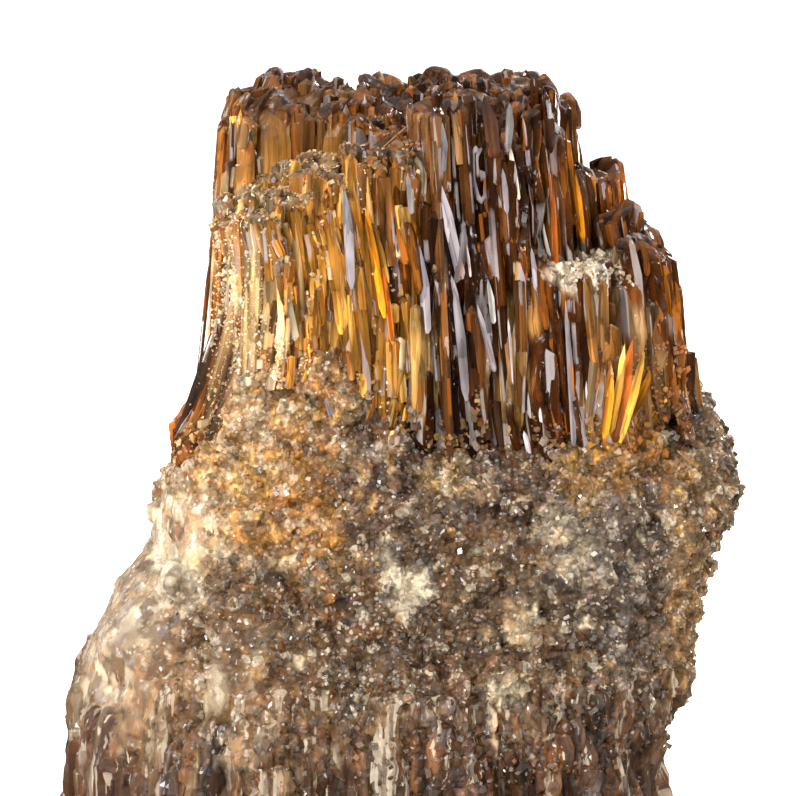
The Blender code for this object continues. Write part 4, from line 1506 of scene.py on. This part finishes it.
# %% Blades set one by one
# Each: foot x and z, tip x and z, width, all in millimetres, and colour.
# FLASHES are painted glints: their pale colours are painted reflections of the light.
FLASHES = (
    (6.1, 66.3, 3.4, 77.6, 1.3, "lilac"),
    (2.9, 76.8, 2.4, 81.2, 1.0, "lilac"),
    (4.2, 76.6, 4.3, 81.4, 1.0, "lilac"),
    (8.2, 73.2, 7.3, 79.4, 1.7, "lilac"),
    (10.4, 78.6, 10.8, 83.6, 1.0, "grey"),
    (6.6, 54.4, 5.5, 65.6, 1.2, "lilac"),
    (9.3, 57.2, 7.7, 63.8, 0.8, "lilac"),
    (9.2, 61.8, 8.7, 66.2, 0.7, "white"),
    (13.2, 65.2, 12.8, 69.4, 0.6, "lilac"),
    (10.4, 72.6, 10.0, 77.0, 0.7, "lilac"),
    (1.3, 72.6, 1.0, 76.6, 0.8, "grey"),
    (-0.4, 66.2, 0.0, 69.8, 0.6, "lilac"),
    (2.8, 61.0, 2.2, 69.6, 1.2, "lilac"),
    (5.6, 66.0, 6.3, 71.4, 0.8, "lilac"),
    (-3.6, 60.2, -3.6, 64.2, 0.7, "white"),
    (-4.4, 65.4, -4.9, 75.0, 1.3, "lilac"),
    (-9.9, 60.2, -11.3, 65.8, 1.4, "cream"),
    (4.2, 48.4, 3.8, 54.6, 0.9, "lilac"),
    (9.4, 49.4, 8.2, 54.6, 0.8, "grey"),
    (7.7, 48.8, 6.5, 55.4, 0.8, "grey"),
    (-5.8, 50.6, -7.0, 55.0, 0.9, "lilac"),
    (17.0, 50.0, 16.1, 64.4, 0.7, "lilac"),
    (18.2, 50.6, 19.3, 64.0, 1.0, "tan"),
    (18.0, 49.6, 20.4, 61.0, 0.7, "grey"),
)
FLAMES = (
    (-1.3, 62.6, -3.0, 73.4, 1.0, "flame"),
    (-0.5, 60.0, -1.5, 68.0, 0.8, "orange"),
    (-0.9, 66.0, -2.2, 71.6, 0.7, "gold"),
    (-3.4, 68.0, -4.0, 75.0, 0.8, "honey"),
    (18.0, 69.0, 16.9, 76.8, 0.9, "flame"),
    (15.4, 66.0, 14.6, 77.5, 0.7, "orange"),
    (19.9, 50.8, 20.6, 58.2, 1.2, "honey"),
    (20.5, 50.6, 21.9, 60.0, 1.0, "gold"),
    (20.9, 50.4, 22.9, 60.4, 1.3, "orange"),
    (21.4, 50.4, 24.0, 59.2, 1.1, "gold"),
    (22.0, 50.4, 25.3, 57.4, 1.2, "honey"),
    (9.2, 78.0, 8.3, 84.6, 1.6, "umber"),
    (14.6, 78.0, 14.3, 84.0, 1.4, "umber"),
)
print(len(FLASHES), "flashes and", len(FLAMES), "flames")

# %% [markdown]
# A blade set one by one stands a little before the solid, leans as the wall behind it does, and is turned
# by chance a little to the side.

# %% Set the blades
LEAN_SHARE = 0.6


def front_at(x, z):
    """The place along Y of the solid's front at a place seen from the front, in millimetres."""
    hit = solid_tree.ray_cast(Vector((x, -SKY, z)), Vector((0, 1, 0)))[0]
    return hit.y if hit else BUNDLE_MIDDLE[1]


def chosen(name, rows, seed, brighten, stand_out):
    """Leaves that stand where the rows say, some millimetres before the solid."""
    rng = np.random.default_rng(seed)
    feet, along, facing, sizes, tints = [], [], [], [], []
    for foot_x, foot_z, tip_x, tip_z, wide, ink in rows:
        wide_x, high_z = tip_x - foot_x, tip_z - foot_z
        front = [front_at(foot_x + wide_x * t, foot_z + high_z * t) for t in (0.1, 0.5, 0.9)]
        lean = (front[2] - front[0]) * LEAN_SHARE
        feet.append((foot_x, front[1] - lean / 2 - stand_out, foot_z))
        along.append((wide_x, lean, high_z))
        facing.append((rng.normal(-0.2, 0.2), -1.0, rng.normal(0.06, 0.03)))
        sizes.append((wide, wide / 2, math.dist((foot_x, foot_z), (tip_x, tip_z))))
        tints.append(INK_COLOURS[INKS.index(ink)] * brighten)
    return grow(name, LEAVES, *(np.array(v) for v in (feet, along, facing, sizes, tints)), rng)


painted_glints = chosen("painted_glints", FLASHES, seed=31, brighten=0.58, stand_out=0.3)
amber_flames = chosen("amber_flames", FLAMES, seed=32, brighten=1.4, stand_out=0.7)
finish_piece(amber_flames, clear_amber)

# %% [markdown]
# The painted glint faces are silky, with fine threads and no glass glow: their pale colour is the painted
# reflection of the light thrown back at the cleavage, and nothing is seen through them.

# %% Painted glint material
painted_glint_material, _, shader, _ = blade_material("painted_glint_face", width=1.2, roughness=0.25, contrast=0.6)
shader.inputs["IOR"].default_value = CRYSTAL_IOR
for piece in (painted_glint_blades, painted_glints):
    finish_piece(piece, painted_glint_material)

# %% [markdown]
# ## Broken ends
# On the shelf the crystals are snapped off, and thin splinters lie across it, cream, tan and brown.

# %% Splinters on the shelf
def on_shelf(middles, out):
    """True on the broken shelf at the left of the front."""
    return on_break(middles, out) & (middles[:, 0] < 2) & (middles[:, 1] < 6) & (middles[:, 2] < 80)


def splinters(name, count, seed):
    """Thin splinters that lie across the shelf, rising to the right with it."""
    rng = np.random.default_rng(seed)
    places, out, _ = scatter(solid, count, rng, on_shelf)
    slope = rng.normal(0.42, 0.15, count)
    along = np.stack([np.ones(count), rng.normal(0, 0.35, count), slope], axis=1)
    wide = rng.uniform(0.3, 0.6, count)
    sizes = np.stack([wide, wide, rng.uniform(2, 5, count)], axis=1)
    feet = places + out * 0.2 - along
    tints = drawn(rubble_shares(places), rng, own=0.4) * 1.1
    return grow(name, BLADES[2:], feet, along, out, sizes, tints, rng)


splinter_set = splinters("shelf_splinters", 14, seed=50)
finish_piece(splinter_set, sugar)

# %% [markdown]
# The ends of single columns stick out of every broken surface, cut off square or at a slant. They make the
# jagged skyline at the top and along the steps.

# %% Column ends
SUNK_LENGTH = 3.1


def column_ends(name, count, seed):
    """Short upright columns on all broken surfaces, most of their length sunk in."""
    rng = np.random.default_rng(seed)
    places, _, area = scatter(solid, count, rng, on_break)
    wide = rng.uniform(0.7, 2.0, count)
    tall = rng.uniform(3.0, 4.2, count)
    along = lean_at(places[:, 0]) + rng.normal(0, 0.08, (count, 3))
    facing = rng.normal(size=(count, 3)) * (0.4, 0.2, 0) + (0, -1, 0)
    sizes = np.stack([wide, wide * rng.uniform(0.4, 0.8, count), tall], axis=1)
    tints = drawn(rubble_shares(places), rng, own=0.5) * 0.75
    print(name, count, "ends on", round(area), "square mm")
    feet = places - along * SUNK_LENGTH
    return grow(name, [*BLADES[1:], *LEAVES], feet, along, facing, sizes, tints, rng, flash=0.1)


end_set = column_ends("column_ends", 300, seed=46)
finish_piece(end_set, clear_amber)

# %% [markdown]
# ## Fit
# The blades stand out from the solid, which makes the bundle a little too wide and too high. All its pieces
# are brought back together: each side is moved along X by what was measured there, and the top is lowered.

# %% Fit the bundle
FRONT_LEFT = ((46, 0.0), (49.5, -1.0), (53.5, 1.8), (58, 2.4), (68, 2.0), (72, 0.8))
WALL_LEFT = ((46, 0.0), (50, -0.5), (54, 1.8), (60, 2.2), (67, 1.6), (73, -1.1), (82, -1.1), (84, -0.2))
BACK_LEFT = ((46, 0.0), (54, 0.6), (84, -0.6))
RIGHT = ((46, 0.0), (50, -0.7), (54, -1.4), (58, -0.9), (68, -0.9), (70, -1.5), (73, -1.0), (78, -1.4),
         (84, -1.0))
LOWER_PLACES = (-20, -17, -12, 0, 13, 15, 17, 21, 24)
LOWER = (2.0, 2.0, 1.0, 1.2, 1.2, 0.6, 1.2, 2.2, 0.2)
LOWER_FROM = 66
LOWER_DEPTH = 10


def fitted(rows):
    """Places moved to the outline of the specimen, above the crust."""
    moved = shifted(rows, FRONT_LEFT, RIGHT)
    for shifts, start, full in ((WALL_LEFT, 1.0, 4.0), (BACK_LEFT, 9.0, 13.0)):
        part = ramp(rows[:, 1:2] - start, full - start)
        moved = moved * (1 - part) + shifted(rows, shifts, RIGHT) * part
    moved[:, 2] -= np.interp(rows[:, 0], LOWER_PLACES, LOWER) * ramp(rows[:, 2] - LOWER_FROM, LOWER_DEPTH)
    return moved


for piece in (skin, heart, brown_blades, honey_facets, painted_glint_blades, splinter_set, end_set):
    move_points(piece, fitted(places_of(piece)))
print("a place at 27 mm goes to", fitted(np.array([[27.0, 0.0, 62.0]]))[0].round(2))

# %% [markdown]
# ## Dust and druse on the columns
# Fine grains also lie on the bundle itself: as rubble on the broken ends, as a cream coat down the left
# front corner, as a white cushion on the ledge at the right, and among the blades' feet, where the crust
# climbs them. Some lie on the skin and some on the blades that stand out from it.

# %% Grains on the bundle
DUST_REACH = (0.12, 0.8)
SUNK_OR_PROUD = 0.4


def dusted(name, on, count, size, shares, keep, brighten, seed):
    """Grains strewn over part of the crystal skin or of the blades, sunk in or standing out a little."""
    rng = np.random.default_rng(seed)
    places, out, area = scatter(on, count, rng, keep)
    wide = np.clip(size * np.exp(rng.normal(0, 0.35, count)), *DUST_REACH)
    sizes = np.stack([wide, wide * rng.uniform(0.7, 1.1, count), wide * rng.uniform(0.9, 1.6, count)], axis=1)
    turn = unit(rng.normal(size=(count, 3)) + out * 0.8)
    places = places + out * (wide * rng.uniform(-SUNK_OR_PROUD, SUNK_OR_PROUD, count))[:, None]
    tints = drawn(shares(places), rng, own=0.4) * brighten
    print(name, count, "grains on", round(area), "square mm")
    return grow(name, GRAINS, places, turn, rng.normal(size=(count, 3)), sizes, tints, rng)


print("grains of", DUST_REACH[0], "to", DUST_REACH[1], "mm")

# %% [markdown]
# Dust never ends at a straight line, so each dusted part is an oval, a height or a patch whose edge is made
# ragged by the same smooth noise.

# %% Where dust lies
def ragged(middles, at_x, at_z, wide, tall):
    """True within an oval on the front with a ragged edge."""
    reach = ((middles[:, 0] - at_x) / wide) ** 2 + ((middles[:, 2] - at_z) / tall) ** 2
    return (reach + 1.6 * waves(middles, 1.8) < 1) & (middles[:, 1] < -1)


def on_left_corner(middles, out):
    """True on the cream-coated corner at the left of the front."""
    return ragged(middles, -16.2, 61.0, 2.6, 13.0) | ragged(middles, -13.4, 57.6, 4.2, 3.2)


def on_ledge(middles, out):
    """True on the dusted ledge at the right of the front."""
    return ragged(middles, 18.0, 66.9, 2.2, 0.9) | ragged(middles, 20.8, 65.6, 1.7, 1.2)


def on_speckles(middles, out):
    """True on the dusty columns low down at the right of the front."""
    return ragged(middles, 25.0, 54.5, 3.6, 5.0)


def on_dusty_honey(middles, out):
    """True in patches on the honey-coloured part."""
    return on_honey(middles, out) & (waves(middles, 1.6, 1.5) > 0.05) & (middles[:, 1] < 4)


def on_seam(middles, out):
    """True on the feet of the columns, up to a ragged line above the crust's edge."""
    above = middles[:, 2] - seam_at(middles[:, 0], middles[:, 1])
    return (above > -SEAM_MARGIN) & (above + 4.0 * waves(middles * (1, 1, 0.4), 1.8) < 2.8)


print("the ledge's middle is dusted:", bool(on_ledge(np.array([[18.0, -9.0, 66.9]]), None)[0]))

# %% [markdown]
# Each dusted part is a piece of its own, with its own colours, size of grain and brightness. All of them
# have the dull sugar finish.

# %% Strew the dust
# Each: name, what it lies on, count, width in millimetres, colours, where, brightness and seed.
DUSTS = (
    ("speckle_druse", skin, 1500, 0.27, column_shares, on_speckles, 1.1, 47),
    ("rubble_grains", skin, 3000, 0.26, rubble_shares, on_shelf, 1.1, 43),
    ("corner_druse", skin, 9000, 0.2, cream_shares, on_left_corner, 1.05, 44),
    ("corner_dust", brown_blades, 5200, 0.18, cream_shares, on_left_corner, 0.9, 54),
    ("ledge_druse", skin, 700, 0.27, rubble_shares, on_ledge, 0.75, 45),
    ("honey_flecks", skin, 900, 0.27, cream_shares, on_dusty_honey, 0.8, 49),
    ("seam_druse", skin, 2600, 0.3, crust_shares, on_seam, 0.9, 48),
    ("blade_druse", brown_blades, 5600, 0.42, crust_shares, on_seam, 0.9, 55),
)
for dust_row in DUSTS:
    finish_piece(dusted(*dust_row), sugar)
